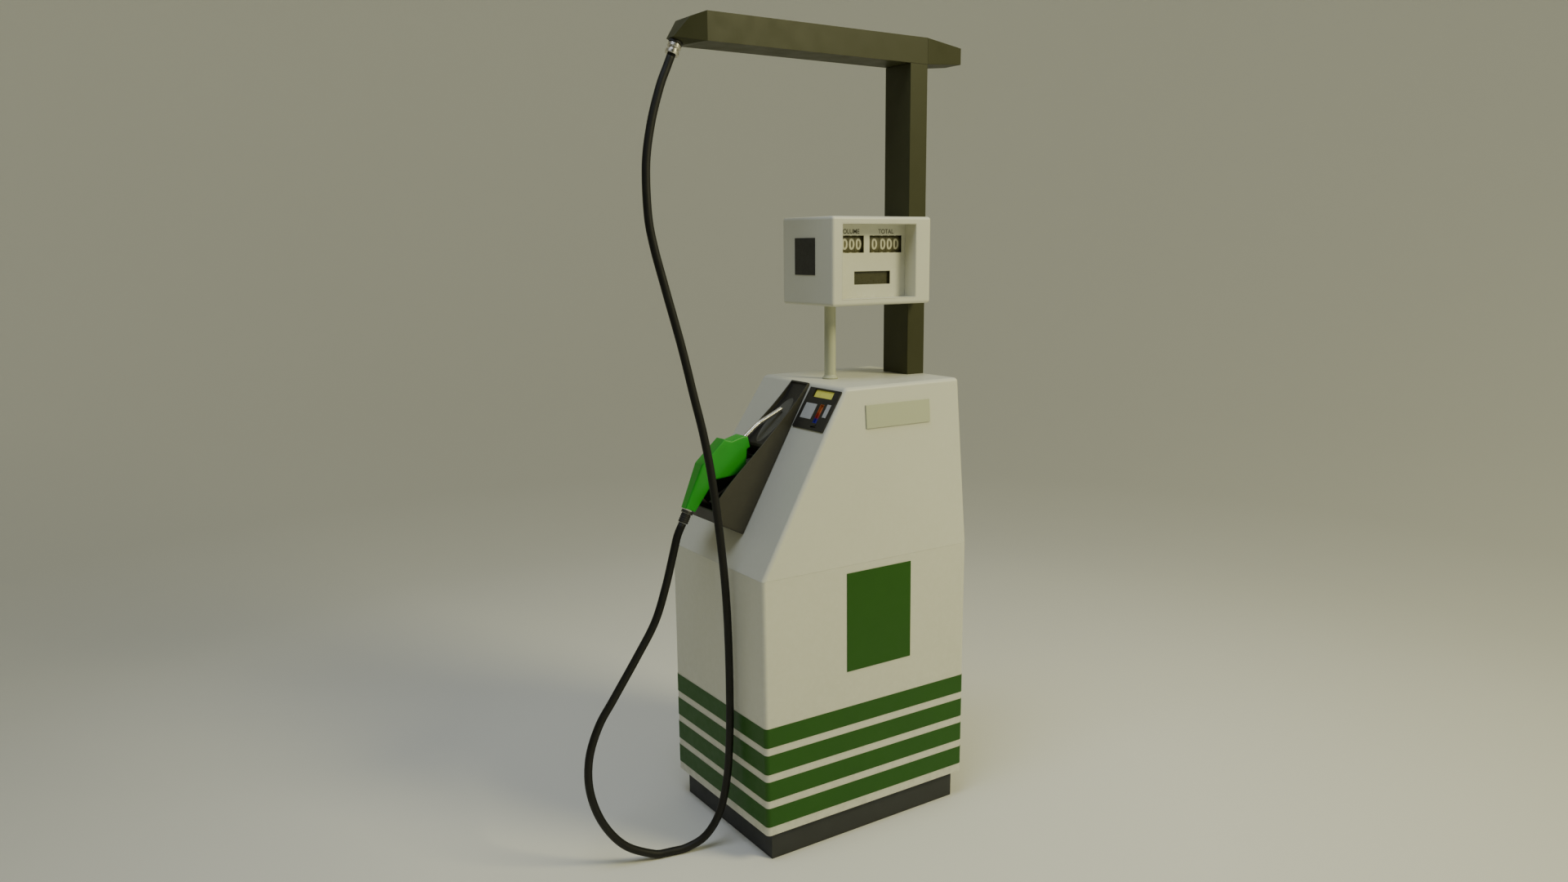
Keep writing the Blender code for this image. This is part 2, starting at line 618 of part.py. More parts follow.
def make_mast():
    (x0, x1), y, wall = MAST_X, MAST_HALF_Y, MAST_WALL
    post = box("mast_post", (x0, -y, MAST_FOOT), (x1, y, ARM_Z[0] - GAP), "mast_paint")
    cut(post, box("post_inside", (x0 + wall, -y + wall, MAST_FOOT - 0.01),
                  (x1 - wall, y - wall, ARM_Z[0] + 0.01)))
    low, high = ARM_Z
    arm = box("mast_arm", (ARM_LEFT, -y, low), (x1, y, high), "mast_paint")
    cut(arm, box("arm_inside", (ARM_LEFT - 0.01, -y + wall, low + wall), (x1 + 0.01, y - wall, high - wall)),
        box("arm_port", (x0 + wall, -y + wall, low - 0.01), (x1 - wall, y - wall, low + 0.01)))

    right = [(x1 + GAP, side * y, z) for side in (-1, 1) for z in ARM_Z]
    right += [(CAP_END_X, side * 0.037, z) for side in (-1, 1) for z in (2.343, 2.393)]
    hollow = [(x1 - 0.01, side * (y - wall), z) for side in (-1, 1) for z in (low + wall, high - wall)]
    hollow += [(CAP_END_X - wall, side * 0.033, z) for side in (-1, 1) for z in (2.347, 2.389)]
    cut(hull("arm_cap_right", right, "mast_paint"), hull("cap_right_inside", hollow))

    lean = Vector((-math.cos(OUTLET_LEAN), 0, math.sin(OUTLET_LEAN)))
    face = 0.021
    left = [(ARM_LEFT - GAP, side * y, z) for side in (-1, 1) for z in ARM_Z]
    left += [(-0.4500, side * 0.042, 2.392) for side in (-1, 1)]
    for across in (-face, face):
        for side in (-face, face):
            left.append(Vector(OUTLET) + lean * across + Vector((0, side, 0)))
    hollow = [(ARM_LEFT + 0.01, side * (y - wall), z) for side in (-1, 1) for z in (low + wall, high - wall)]
    hollow += [(-0.4470, side * 0.038, 2.387) for side in (-1, 1)]
    inner = Vector(OUTLET) + Vector((math.sin(OUTLET_LEAN), 0, math.cos(OUTLET_LEAN))) * wall
    for across in (-0.018, 0.018):
        for side in (-0.018, 0.018):
            hollow.append(inner + lean * across + Vector((0, side, 0)))
    outlet = Vector(OUTLET)
    down = Vector((-math.sin(OUTLET_LEAN), 0, -math.cos(OUTLET_LEAN)))
    cap = hull("arm_cap_left", left, "mast_paint")
    cut(cap, hull("cap_left_inside", hollow), rod("outlet_hole", outlet - down * 0.02, outlet + down * 0.02, 0.0120))


def make_outlet():
    """Flange, fixed swivel half and turning coupling where the hose leaves the arm."""
    turn = Matrix.Rotation(math.pi + OUTLET_LEAN, 3, "Y")
    outlet = frame_at("outlet_frame", OUTLET, turn)
    bore = 0.0085
    turned("outlet_flange", ((bore, 0.0090), (0.0165, 0.0090), (0.0195, 0.0070), (0.0195, GAP), (bore, GAP)),
           "black_plastic", outlet)
    ring = ((bore, 0.0230), (0.0150, 0.0230), (0.0150, 0.0200), (0.0180, 0.0200), (0.0195, 0.0185),
            (0.0195, 0.0108), (0.0180, 0.0093), (bore, 0.0093))
    turned("swivel_body", ring, "bright_metal", outlet)
    coupling = ((bore, 0.0388), (0.0180, 0.0388), (0.0195, 0.0373), (0.0195, 0.0290), (0.0180, 0.0275),
                (0.0150, 0.0275), (0.0150, 0.0233), (bore, 0.0233))
    turned("hose_coupling", coupling, "bright_metal", outlet)


def make_hose():
    tube("hose", smooth_line(HOSE_ROUTE, 0.058), HOSE_RADIUS, "hose_rubber", rings=3)


# Display head ----------------------------------------------------------------------------------


def make_head():
    low, high, wall = Vector(HEAD_LOW), Vector(HEAD_HIGH), HEAD_WALL
    shape = bmesh.new()
    add_box(shape, low, high)
    bmesh.ops.bevel(shape, geom=shape.edges[:], offset=0.010, segments=5, profile=0.5, affect="EDGES")
    head = solid("head_shell", shape, "cream_paint")
    inside = box("head_inside", low + Vector((wall, wall, wall)), high + Vector((-wall, 0.02, -wall)))
    (sx0, sz0), (sx1, sz1), rim = SCREEN_LOW, SCREEN_HIGH, 0.0025
    front = box("screen_hole", (sx0 - rim, low.y - 0.01, sz0 - rim), (sx1 + rim, low.y + 0.02, sz1 + rim))
    slot = box("mast_slot", (MAST_X[0] - 0.001, -MAST_HALF_Y - 0.001, low.z - 0.01),
               (high.x + 0.01, MAST_HALF_Y + 0.001, high.z + 0.01))
    shaft = rod("head_shaft_hole", (POLE_X, 0, low.z - 0.01), (POLE_X, 0, low.z + 0.01), 0.012)
    cut(head, inside, front, slot, shaft)

    surround = box("screen_surround", (sx0 - rim + GAP, low.y, sz0 - rim + GAP),
                   (sx1 + rim - GAP, DIAL_FRONT, sz1 + rim - GAP), "cream_paint")
    cut(surround, box("surround_inside", (sx0, low.y - 0.01, sz0), (sx1, DIAL_FRONT + 0.01, sz1)))

    dial = box("dial_plate", (sx0 - rim, DIAL_FRONT + GAP, sz0 - rim), (sx1 + rim, DIAL_FRONT + 0.0028, sz1 + rim),
               "cream_paint")
    windows = {
        "volume_window": (0.0035, 0.1128, 1.7590, 1.8106),
        "total_window": (0.1345, 0.2597, 1.7590, 1.8106),
        "price_window": (0.0765, 0.2146, 1.6638, 1.7035),
    }
    for name, (x0, x1, z0, z1) in windows.items():
        cut(dial, box(name, (x0, DIAL_FRONT - 0.01, z0), (x1, DIAL_FRONT + 0.01, z1)))
    x0, x1, z0, z1 = windows["price_window"]
    rim, front = 0.006, DIAL_FRONT + 0.0031
    display = box("price_display", (x0 - rim, front, z0 - rim), (x1 + rim, front + 0.0140, z1 + rim), "lcd_dark")
    cut(display, box("display_recess", (x0, front - 0.01, z0), (x1, front + 0.0070, z1)))

    box("head_back_cover", (low.x + wall + GAP, high.y - 0.0075, low.z + wall + GAP),
        (high.x - wall - GAP, high.y - 0.0035, high.z - wall - GAP), "cream_paint")
    box("speaker_panel", (low.x - 0.0016, -0.0448, 1.694), (low.x - GAP, 0.0612, 1.804), "black_plastic")

    make_register()


def drum(name, x, half, bore, radius, finish=None, steps=20):
    """A hollow drum about the wheels' axis, closed on its left side."""
    web, rim = 0.004, 0.005
    profile = ((bore, web - half), (radius - rim, web - half), (radius - rim, half), (radius, half),
               (radius, -half), (bore, -half))
    shape = bmesh.new()
    rings = []
    for distance, along in profile:
        turns = [2 * math.pi * (i + 0.5) / steps for i in range(steps)]
        rings.append([
            shape.verts.new((x + along, WHEEL_Y + distance * math.cos(a), WHEEL_Z + distance * math.sin(a)))
            for a in turns
        ])
    for first, second in zip(rings, rings[1:] + rings[:1]):
        for i in range(steps):
            j = (i + 1) % steps
            shape.faces.new((first[i], first[j], second[j], second[i]))
    item = solid(name, shape, finish)
    set_origin(item, (x, WHEEL_Y, WHEEL_Z))
    return item


def make_register():
    """The register's frame with its fixed shaft and blank drums, and the number wheels between them."""
    back_y, low_z, high_z, side = WHEEL_Y + WHEEL_RADIUS + 0.004, 1.7150, 1.8560, 0.004
    register = box("register_frame", (-0.018, back_y, low_z), (0.2655, back_y + side, high_z), "steel")
    for i, x in enumerate((-0.018, 0.1275, 0.2615)):
        join(register, box(f"register_side_{i}", (x, WHEEL_Y - 0.050, low_z + 0.002),
                           (x + side, back_y + 0.002, high_z - 0.002)))
    join(register, rod("wheel_shaft", (-0.0165, WHEEL_Y, WHEEL_Z), (0.2645, WHEEL_Y, WHEEL_Z), 0.0040))
    for i, (x0, x1) in enumerate(SPACERS_X):
        join(register, drum(f"register_spacer_{i}", (x0 + x1) / 2, (x1 - x0) / 2, 0.0030, SPACER_RADIUS))
    for group, places in (("volume", VOLUME_WHEELS_X), ("total", TOTAL_WHEELS_X)):
        for i, x in enumerate(reversed(places)):
            drum(f"{group}_wheel_{i + 1}", x, WHEEL_WIDTH / 2, WHEEL_BORE, WHEEL_RADIUS, "wheel_black")


def make_pole():
    """The head's pole with its flared foot, and the register shaft that runs up inside it."""
    low, high, bore = ROOF + GAP, HEAD_LOW[2] - GAP, POLE_RADIUS - 0.0026
    foot = frame_at("pole_frame", (POLE_X, 0, 0))
    profile = ((bore, high), (POLE_RADIUS, high), (POLE_RADIUS, low + 0.014), (0.0205, low + 0.009),
               (0.0245, low + 0.0035), (0.0245, low), (bore, low))
    turned("display_pole", profile, "cream_paint", foot)
    top = WHEEL_Z - WHEEL_RADIUS - 0.004
    shaft = rod("register_shaft", (0, 0, 0.6603), (0, 0, top), 0.0050, "steel", foot, sides=12)
    join(shaft, rod("shaft_gear", (0, 0, top - 0.012), (0, 0, top + 0.001), 0.0080, frame=foot))


# Pumping works inside the cabinet --------------------------------------------------------------

PUMP_AXLE = (-0.14, 0.25)  # x, z
MOTOR_AXLE = (0.19, 0.225)
BELT_Y = 0.165
BELT_WIDTH = 0.014
PUMP_PULLEY = 0.075
MOTOR_PULLEY = 0.032


def belt_loop(extra, arc_steps=14):
    """Outline of the belt round both pulleys, in X and Z, some distance outside their rims."""
    (ax, az), (bx, bz) = PUMP_AXLE, MOTOR_AXLE
    a, b = PUMP_PULLEY + extra, MOTOR_PULLEY + extra
    along = math.atan2(bz - az, bx - ax)
    spread = math.acos((a - b) / math.hypot(bx - ax, bz - az))
    points = []
    for cx, cz, radius, start, sweep in (
        (ax, az, a, along + spread, 2 * math.pi - 2 * spread),
        (bx, bz, b, along - spread, 2 * spread),
    ):
        for i in range(arc_steps + 1):
            angle = start + sweep * i / arc_steps
            points.append((cx + radius * math.cos(angle), cz + radius * math.sin(angle)))
    return points


def pulley(name, axle, radius, bore):
    x, z = axle
    shape = bmesh.new()
    half = BELT_WIDTH / 2 + 0.001
    add_rod(shape, (x, BELT_Y - half, z), (x, BELT_Y + half, z), radius, 32)
    wheel = solid(name, shape, "steel")
    flange = radius + 0.006
    for side in (-1, 1):
        join(wheel, rod(f"{name}_flange_{side}", (x, BELT_Y + side * (half - 0.0005), z),
                        (x, BELT_Y + side * (half + 0.003), z), flange, sides=32))
    set_origin(wheel, (x, BELT_Y, z))
    return cut(wheel, rod(f"{name}_bore", (x, BELT_Y - 0.03, z), (x, BELT_Y + 0.03, z), bore))


def make_works():
    """Motor, belt and pump below the shelf; meter and junction box above it; pipes between them."""
    floor = 0.0924 + GAP
    px, pz = PUMP_AXLE
    mx, mz = MOTOR_AXLE
    pump = box("pump_unit", (-0.25, -0.13, floor), (0.035, 0.10, 0.390), "works_paint", edge=0.008)
    join(pump, rod("pump_chamber", (px, -0.16, pz), (px, 0.125, pz), 0.085, sides=24),
         rod("pump_axle", (px, 0.10, pz), (px, BELT_Y + 0.010, pz), 0.0090))
    cut(pump, rod("pump_inlet", (px, 0, 0.05), (px, 0, 0.14), 0.018))

    motor = rod("motor", (mx, -0.14, mz), (mx, 0.110, mz), 0.078, "works_paint", sides=28)
    join(motor, rod("motor_shaft", (mx, 0.10, mz), (mx, BELT_Y + 0.010, mz), 0.0075),
         box("motor_feet", (mx - 0.07, -0.12, floor), (mx + 0.07, 0.09, floor + 0.012)),
         box("motor_saddle", (mx - 0.04, -0.10, floor), (mx + 0.04, 0.07, mz)),
         box("motor_terminals", (mx - 0.03, -0.05, mz + 0.06), (mx + 0.03, 0.03, mz + 0.100)))

    pulley("pump_pulley", PUMP_AXLE, PUMP_PULLEY, 0.0093)
    pulley("motor_pulley", MOTOR_AXLE, MOTOR_PULLEY, 0.0078)
    belt = plate("drive_belt", belt_loop(0.0050), BELT_WIDTH, "hose_rubber", upright=True)
    belt.location.y = BELT_Y
    inside = plate("belt_inside", belt_loop(0.0011), BELT_WIDTH * 2, upright=True)
    inside.location.y = BELT_Y
    cut(belt, inside)

    tube("suction_pipe", ((px, 0, 0.006), (px, 0, 0.060), (px, 0, 0.130)), 0.0168, "steel")
    tube("feed_pipe", ((0, 0, 0.3903), (0, 0, 0.4450), (0, 0, 0.4997)), 0.0168, "steel")

    meter = box("flow_meter", (-0.05, -0.085, 0.500), (0.135, 0.085, 0.640), "works_paint", edge=0.010)
    join(meter, rod("meter_cap", (POLE_X, 0, 0.62), (POLE_X, 0, 0.660), 0.05),
         *(rod(f"meter_piston_{side}", (0.042, side * 0.06, 0.565), (0.042, side * 0.115, 0.565), 0.045)
           for side in (-1, 1)),
         *(box(f"meter_foot_{side}", (0.010, side * 0.06 - 0.02, 0.4743), (0.120, side * 0.06 + 0.02, 0.52))
           for side in (-1, 1)))
    box("junction_box", (0.205, -0.210, 0.4743), (0.295, -0.110, 0.590), "cast_metal", edge=0.006)

    x, top = 0.337, 2.368
    route = (
        (0.1353, 0, 0.570), (0.200, 0, 0.570), (0.270, 0, 0.570), (0.315, 0, 0.580), (0.334, 0, 0.605),
        (x, 0, 0.640), (x, 0, 0.85), (x, 0, 1.6), (x, 0, 2.310), (0.331, 0, 2.343), (0.312, 0, 2.362),
        (0.280, 0, top), (-0.05, 0, top), (-0.410, 0, top), (-0.436, 0, 2.362), (-0.452, 0, 2.3495),
    )
    tube("delivery_pipe", route, 0.0120, "steel")


# Nozzle ----------------------------------------------------------------------------------------

COVER_OUTLINE = (
    (-0.0053, 0.0167), (0.121, 0.0665), (0.1355, 0.0660), (0.1755, 0.0635), (0.222, 0.0610), (0.2345, 0.0380),
    (0.272, 0.0165), (0.2798, 0.0020), (0.262, -0.0260), (0.2505, -0.0210), (0.212, -0.0540),
    (0.1685, -0.0445), (0.115, 0.0020), (0.0053, -0.0167),
)
COVER_HALF = (0.0165, 0.0260)  # half thickness at the grip's end and in the body
COVER_WALL = 0.0030
TAPER_END = 0.13  # the grip thickens up to here


def grip_scale(along):
    """How thick the cover is there, as a share of its full thickness."""
    t = min(along / TAPER_END, 1.0)
    return (COVER_HALF[0] + (COVER_HALF[1] - COVER_HALF[0]) * t) / COVER_HALF[1]


def nozzle_solid(name, inset, finish, frame, edge, lengthen=0.0):
    """The nozzle's outline made solid, thinner towards the grip's end, with rounded edges."""
    outline = offset_outline(COVER_OUTLINE, inset)
    if lengthen:
        tail = Vector((-math.cos(math.radians(17.7)), -math.sin(math.radians(17.7)))) * lengthen
        outline[0] += tail
        outline[-1] += tail
    item = plate(name, outline, 2 * (COVER_HALF[1] - inset), finish, frame, upright=True)
    shape = bmesh.new()
    shape.from_mesh(item.data)
    if edge:
        rim = [e for e in shape.edges if abs(e.verts[0].co.z - e.verts[1].co.z) < 1e-6
               and len(e.link_faces) == 2 and e.calc_face_angle(0.0) > 1.0]
        bmesh.ops.bevel(shape, geom=rim, offset=edge, segments=2, profile=0.5, affect="EDGES")
    every = shape.verts[:] + shape.edges[:] + shape.faces[:]
    bmesh.ops.bisect_plane(shape, geom=every, plane_co=(TAPER_END, 0, 0), plane_no=(1, 0, 0))
    bmesh.ops.triangulate(shape, faces=shape.faces[:])
    for vertex in shape.verts:
        vertex.co.z *= grip_scale(vertex.co.x)
    bmesh.ops.recalc_face_normals(shape, faces=shape.faces)
    shape.to_mesh(item.data)
    shape.free()
    return item


def make_nozzle():
    axes = Matrix.Rotation(-NOZZLE_PITCH, 3, "Y")
    frame = frame_at("nozzle_frame", INLET, axes)
    cover = nozzle_solid("nozzle_cover", 0.0, "nozzle_green", frame, 0.007)
    cut(cover, nozzle_solid("cover_inside", COVER_WALL, None, frame, 0.004, lengthen=0.03),
        rod("spout_hole", (0.255, 0, 0.0002), (0.30, 0, -0.0058), 0.0082, frame=frame),
        box("lever_slot", (0.168, -0.0100, -0.075), (0.200, 0.0100, -0.030), frame=frame))
    nozzle_solid("nozzle_body", COVER_WALL + GAP, "cast_metal", frame, 0.004)

    spout = smooth_line(((0.2772, 0, -0.0028), (0.300, 0, -0.0055), (0.330, 0, -0.0100), (0.352, 0, -0.0165),
                         (0.380, 0, -0.0275), (0.4224, 0, -0.0432)), 0.012)
    pipe = tube("nozzle_spout", spout, 0.0075, "bright_metal", frame, rings=3)
    tip, back = spout[-1], spout[-3]
    cut(pipe, rod("spout_bore", tip + (tip - back) * 0.2, back, 0.0060, frame=frame))

    bow = smooth_line(((0.180, 0, -0.040), (0.181, 0, -0.062), (0.165, 0, -0.084), (0.130, 0, -0.093),
                       (0.090, 0, -0.088), (0.066, 0, -0.072), (0.054, 0, -0.046), (0.052, 0, -0.008)), 0.014)
    guard = tube("trigger_guard", bow, 0.0045, "black_plastic", frame)
    lugs = box("guard_lugs", (0.168, -0.0120, -0.087), (0.188, 0.0120, -0.052), frame=frame)
    fork = box("guard_fork", (0.150, -0.0070, -0.0765), (0.200, 0.0070, -0.0578), frame=frame)
    join(guard, lugs)
    cut(guard, fork, nozzle_solid("guard_trim", -GAP, None, frame, 0.0))
    pin_at = (0.180, -0.0660)
    join(guard, rod("trigger_pin", (pin_at[0], -0.0110, pin_at[1]), (pin_at[0], 0.0110, pin_at[1]), 0.0030,
                    frame=frame, sides=12))

    line = ((0.180, -0.0660), (0.160, -0.0690), (0.135, -0.0640), (0.100, -0.0530), (0.060, -0.0450))
    trigger = strap("trigger_lever", line, 0.0050, 0.0130, "black_plastic", frame)
    eye = rod("trigger_eye", (pin_at[0], -0.0065, pin_at[1]), (pin_at[0], 0.0065, pin_at[1]), 0.0055, frame=frame)
    join(trigger, eye)
    cut(trigger, rod("trigger_bore", (pin_at[0], -0.02, pin_at[1]), (pin_at[0], 0.02, pin_at[1]), 0.0034,
                     frame=frame, sides=12))
    set_origin(trigger, (pin_at[0], 0.0, pin_at[1]))

    hinge = Vector((0.098, 0.0, -0.0893))
    catch = box("hold_open_catch", hinge + Vector((-0.0035, -0.0066, 0.0075)), hinge + Vector((0.0035, 0.0066, 0.0110)),
                "steel", frame)
    for side in (-1, 1):
        inner, outer = side * 0.0051, side * 0.0064
        ear = hinge + Vector((0, inner, 0)), hinge + Vector((0, outer, 0))
        cheek = (-0.0030, min(inner, outer), 0.0), (0.0030, max(inner, outer), 0.0095)
        join(catch, rod(f"catch_ear_{side}", *ear, 0.0045, frame=frame, sides=12),
             box(f"catch_cheek_{side}", hinge + Vector(cheek[0]), hinge + Vector(cheek[1]), frame=frame))
    join(catch, box("catch_arm", hinge + Vector((-0.0015, -0.0050, 0.0090)), hinge + Vector((0.0015, 0.0050, 0.0250)),
                    frame=frame))
    set_origin(catch, hinge)

    inlet = frame_at("inlet_frame", INLET, Matrix.Rotation(math.pi + INLET_LEAN, 3, "Y"))
    turned("nozzle_swivel", ((0.0085, 0.0115), (0.0165, 0.0115), (0.0178, 0.0100), (0.0178, 0.0030),
                             (0.0165, 0.0015), (0.0085, 0.0015)), "bright_metal", inlet)
    ribs = [(0.0085, 0.0405)]
    ribs.append((0.0135, 0.0405))
    for i in range(4):
        z = 0.0375 - i * 0.0062
        ribs += [(0.0150, z), (0.0150, z - 0.0030), (0.0138, z - 0.0042)]
    ribs += [(0.0138, 0.0118), (0.0085, 0.0118)]
    turned("hose_ferrule", ribs, "black_plastic", inlet, steps=16)


make_base()
make_cabinet()
make_trim()
make_boot()
make_control_panel()
make_mast()
make_outlet()
make_hose()
make_head()
make_pole()
make_works()
make_nozzle()
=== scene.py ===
"""The looks of a free-standing fuel dispenser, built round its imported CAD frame."""

import json
import math

import bmesh
import bpy
from mathutils import Matrix, Vector
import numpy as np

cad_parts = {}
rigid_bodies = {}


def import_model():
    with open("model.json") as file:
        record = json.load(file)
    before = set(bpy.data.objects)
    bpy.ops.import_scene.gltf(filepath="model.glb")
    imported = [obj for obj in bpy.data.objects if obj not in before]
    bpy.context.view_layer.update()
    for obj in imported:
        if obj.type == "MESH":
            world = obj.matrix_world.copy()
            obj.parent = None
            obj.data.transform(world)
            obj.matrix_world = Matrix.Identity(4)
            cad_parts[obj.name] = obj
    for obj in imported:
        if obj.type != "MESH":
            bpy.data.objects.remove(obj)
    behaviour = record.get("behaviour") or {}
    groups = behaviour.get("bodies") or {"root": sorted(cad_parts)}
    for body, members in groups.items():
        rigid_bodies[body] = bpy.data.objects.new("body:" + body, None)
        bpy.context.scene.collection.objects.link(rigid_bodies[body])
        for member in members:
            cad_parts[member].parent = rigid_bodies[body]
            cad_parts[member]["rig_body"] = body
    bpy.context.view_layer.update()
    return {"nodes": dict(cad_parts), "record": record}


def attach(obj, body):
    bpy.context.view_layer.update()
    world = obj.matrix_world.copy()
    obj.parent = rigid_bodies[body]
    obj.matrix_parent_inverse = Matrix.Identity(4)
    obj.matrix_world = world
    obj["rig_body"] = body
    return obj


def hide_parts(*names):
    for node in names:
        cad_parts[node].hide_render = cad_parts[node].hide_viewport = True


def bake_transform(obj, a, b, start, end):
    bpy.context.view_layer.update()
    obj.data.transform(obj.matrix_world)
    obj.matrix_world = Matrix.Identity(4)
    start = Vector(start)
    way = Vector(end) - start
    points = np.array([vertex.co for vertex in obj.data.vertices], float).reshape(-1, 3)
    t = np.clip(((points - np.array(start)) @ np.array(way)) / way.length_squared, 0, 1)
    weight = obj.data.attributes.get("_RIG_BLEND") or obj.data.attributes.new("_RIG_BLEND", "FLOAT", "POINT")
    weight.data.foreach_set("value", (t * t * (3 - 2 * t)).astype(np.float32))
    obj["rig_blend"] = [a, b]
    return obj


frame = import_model()

NODES = frame["nodes"]
SLOTS = {part["node"]: part["material_slot"] for part in frame["record"]["subparts"]}

# Sizes shared with the CAD, in metres -----------------------------------------------------------

GAP = 0.0003  # between two pieces that touch
EDGE = 0.012  # the cabinet's folded edges
SHELL_FOOT, CREASE = 0.0871, 0.854
FOOT_HALF, CREASE_HALF = (0.375, 0.271), (0.382, 0.266)
ROOF, ROOF_LEFT = 1.3737, -0.0596
STRIPE_COUNT, STRIPE_FIRST, STRIPE_HEIGHT, STRIPE_PITCH = 4, 0.1143, 0.0583, 0.0815
STRIPE_FILM = 0.0008

DIAL_FRONT = -0.0796
WHEEL_RADIUS, WHEEL_WIDTH, WHEEL_BORE = 0.066, 0.0250, 0.0045
WHEEL_Y, WHEEL_Z = DIAL_FRONT + 0.0095 + WHEEL_RADIUS, 1.7848
VOLUME_WHEELS_X = (0.0222, 0.0475, 0.0733, 0.0990)
TOTAL_WHEELS_X = (0.1598, 0.1925, 0.2182, 0.2441)
SPACER_RADIUS = 0.0655
DIGIT_WIDTH, DIGIT_HEIGHT = 0.0205, 0.034

OUTLET, OUTLET_LEAN = (-0.472, 0.0, 2.330), math.radians(24)
INLET, INLET_LEAN = (-0.468, 0.0, 1.024), math.radians(27)
NOZZLE_PITCH = math.radians(45.3)
POLE_X, POLE_RADIUS, HEAD_BOTTOM = 0.0436, 0.0176, 1.603
PAD_CENTRE, PAD_LEAN = (0.0, 0.463, 0.0295), math.atan((0.0535 - 0.0060) / (0.5520 - 0.3720))

HOSE_RADIUS = 0.0117
HOSE_ROUTE = (
    (-0.4880, 0.000, 2.2941), (-0.5031, 0.000, 2.2602), (-0.5260, -0.001, 2.2080),
    (-0.5560, -0.003, 2.1130), (-0.5770, -0.008, 2.0040), (-0.5810, -0.018, 1.8740),
    (-0.5710, -0.027, 1.7860), (-0.5450, -0.042, 1.6640), (-0.5100, -0.062, 1.5060),
    (-0.4850, -0.080, 1.3690), (-0.4640, -0.096, 1.2530), (-0.4450, -0.106, 1.1240),
    (-0.4260, -0.112, 0.9540), (-0.4130, -0.114, 0.8060), (-0.4060, -0.114, 0.6560),
    (-0.4040, -0.114, 0.4790), (-0.4060, -0.112, 0.3400), (-0.4150, -0.108, 0.2150),
    (-0.4380, -0.100, 0.1080), (-0.4820, -0.088, 0.0400), (-0.5400, -0.074, 0.0140),
    (-0.5850, -0.065, 0.0122), (-0.6320, -0.056, 0.0150), (-0.7220, -0.042, 0.0640),
    (-0.7850, -0.031, 0.1490), (-0.8170, -0.023, 0.2510), (-0.8130, -0.016, 0.3470),
    (-0.7780, -0.011, 0.4350), (-0.7260, -0.008, 0.5070), (-0.6490, -0.005, 0.6130),
    (-0.5870, -0.003, 0.7060), (-0.5490, -0.001, 0.8020), (-0.5210, 0.000, 0.8960),
    (-0.5048, 0.000, 0.9518), (-0.4868, 0.000, 0.9871),
)

SLOPE_UP = Vector((ROOF_LEFT + CREASE_HALF[0], 0.0, ROOF - CREASE)).normalized()
SLOPE_OUT = Vector((-SLOPE_UP.z, 0.0, SLOPE_UP.x))
SLOPE = Matrix((Vector((0.0, -1.0, 0.0)), SLOPE_UP, SLOPE_OUT)).transposed().to_4x4()
SLOPE.translation = (-CREASE_HALF[0], 0.0, CREASE)
NOZZLE = Matrix.Translation(INLET) @ Matrix.Rotation(-NOZZLE_PITCH, 4, "Y")
INLET_FRAME = Matrix.Translation(INLET) @ Matrix.Rotation(math.pi + INLET_LEAN, 4, "Y")
OUTLET_FRAME = Matrix.Translation(OUTLET) @ Matrix.Rotation(math.pi + OUTLET_LEAN, 4, "Y")


# Camera -----------------------------------------------------------------------------------------


CAMERA_PLACE = (-1.98548, -2.80092, 1.78057)
CAMERA_TURN = (33.52065, -9.90913, -0.41786)  # yaw from +Y towards +X, pitch and roll, in degrees
FILM_WIDTH, FOCAL_LENGTH = 36.0, 25.613  # millimetres


def make_camera():
    yaw, pitch, roll = (math.radians(a) for a in CAMERA_TURN)
    ahead = Vector((math.sin(yaw) * math.cos(pitch), math.cos(yaw) * math.cos(pitch), math.sin(pitch)))
    right = Vector((math.cos(yaw), -math.sin(yaw), 0.0))
    up = right.cross(ahead)
    x_axis = right * math.cos(roll) + up * math.sin(roll)
    y_axis = up * math.cos(roll) - right * math.sin(roll)
    data = bpy.data.cameras.new("camera")
    data.sensor_width = FILM_WIDTH
    data.lens = FOCAL_LENGTH
    camera = bpy.data.objects.new("camera", data)
    bpy.context.scene.collection.objects.link(camera)
    matrix = Matrix((x_axis, y_axis, -ahead)).transposed().to_4x4()
    matrix.translation = CAMERA_PLACE
    camera.matrix_world = matrix
    bpy.context.scene.camera = camera


# Materials --------------------------------------------------------------------------------------


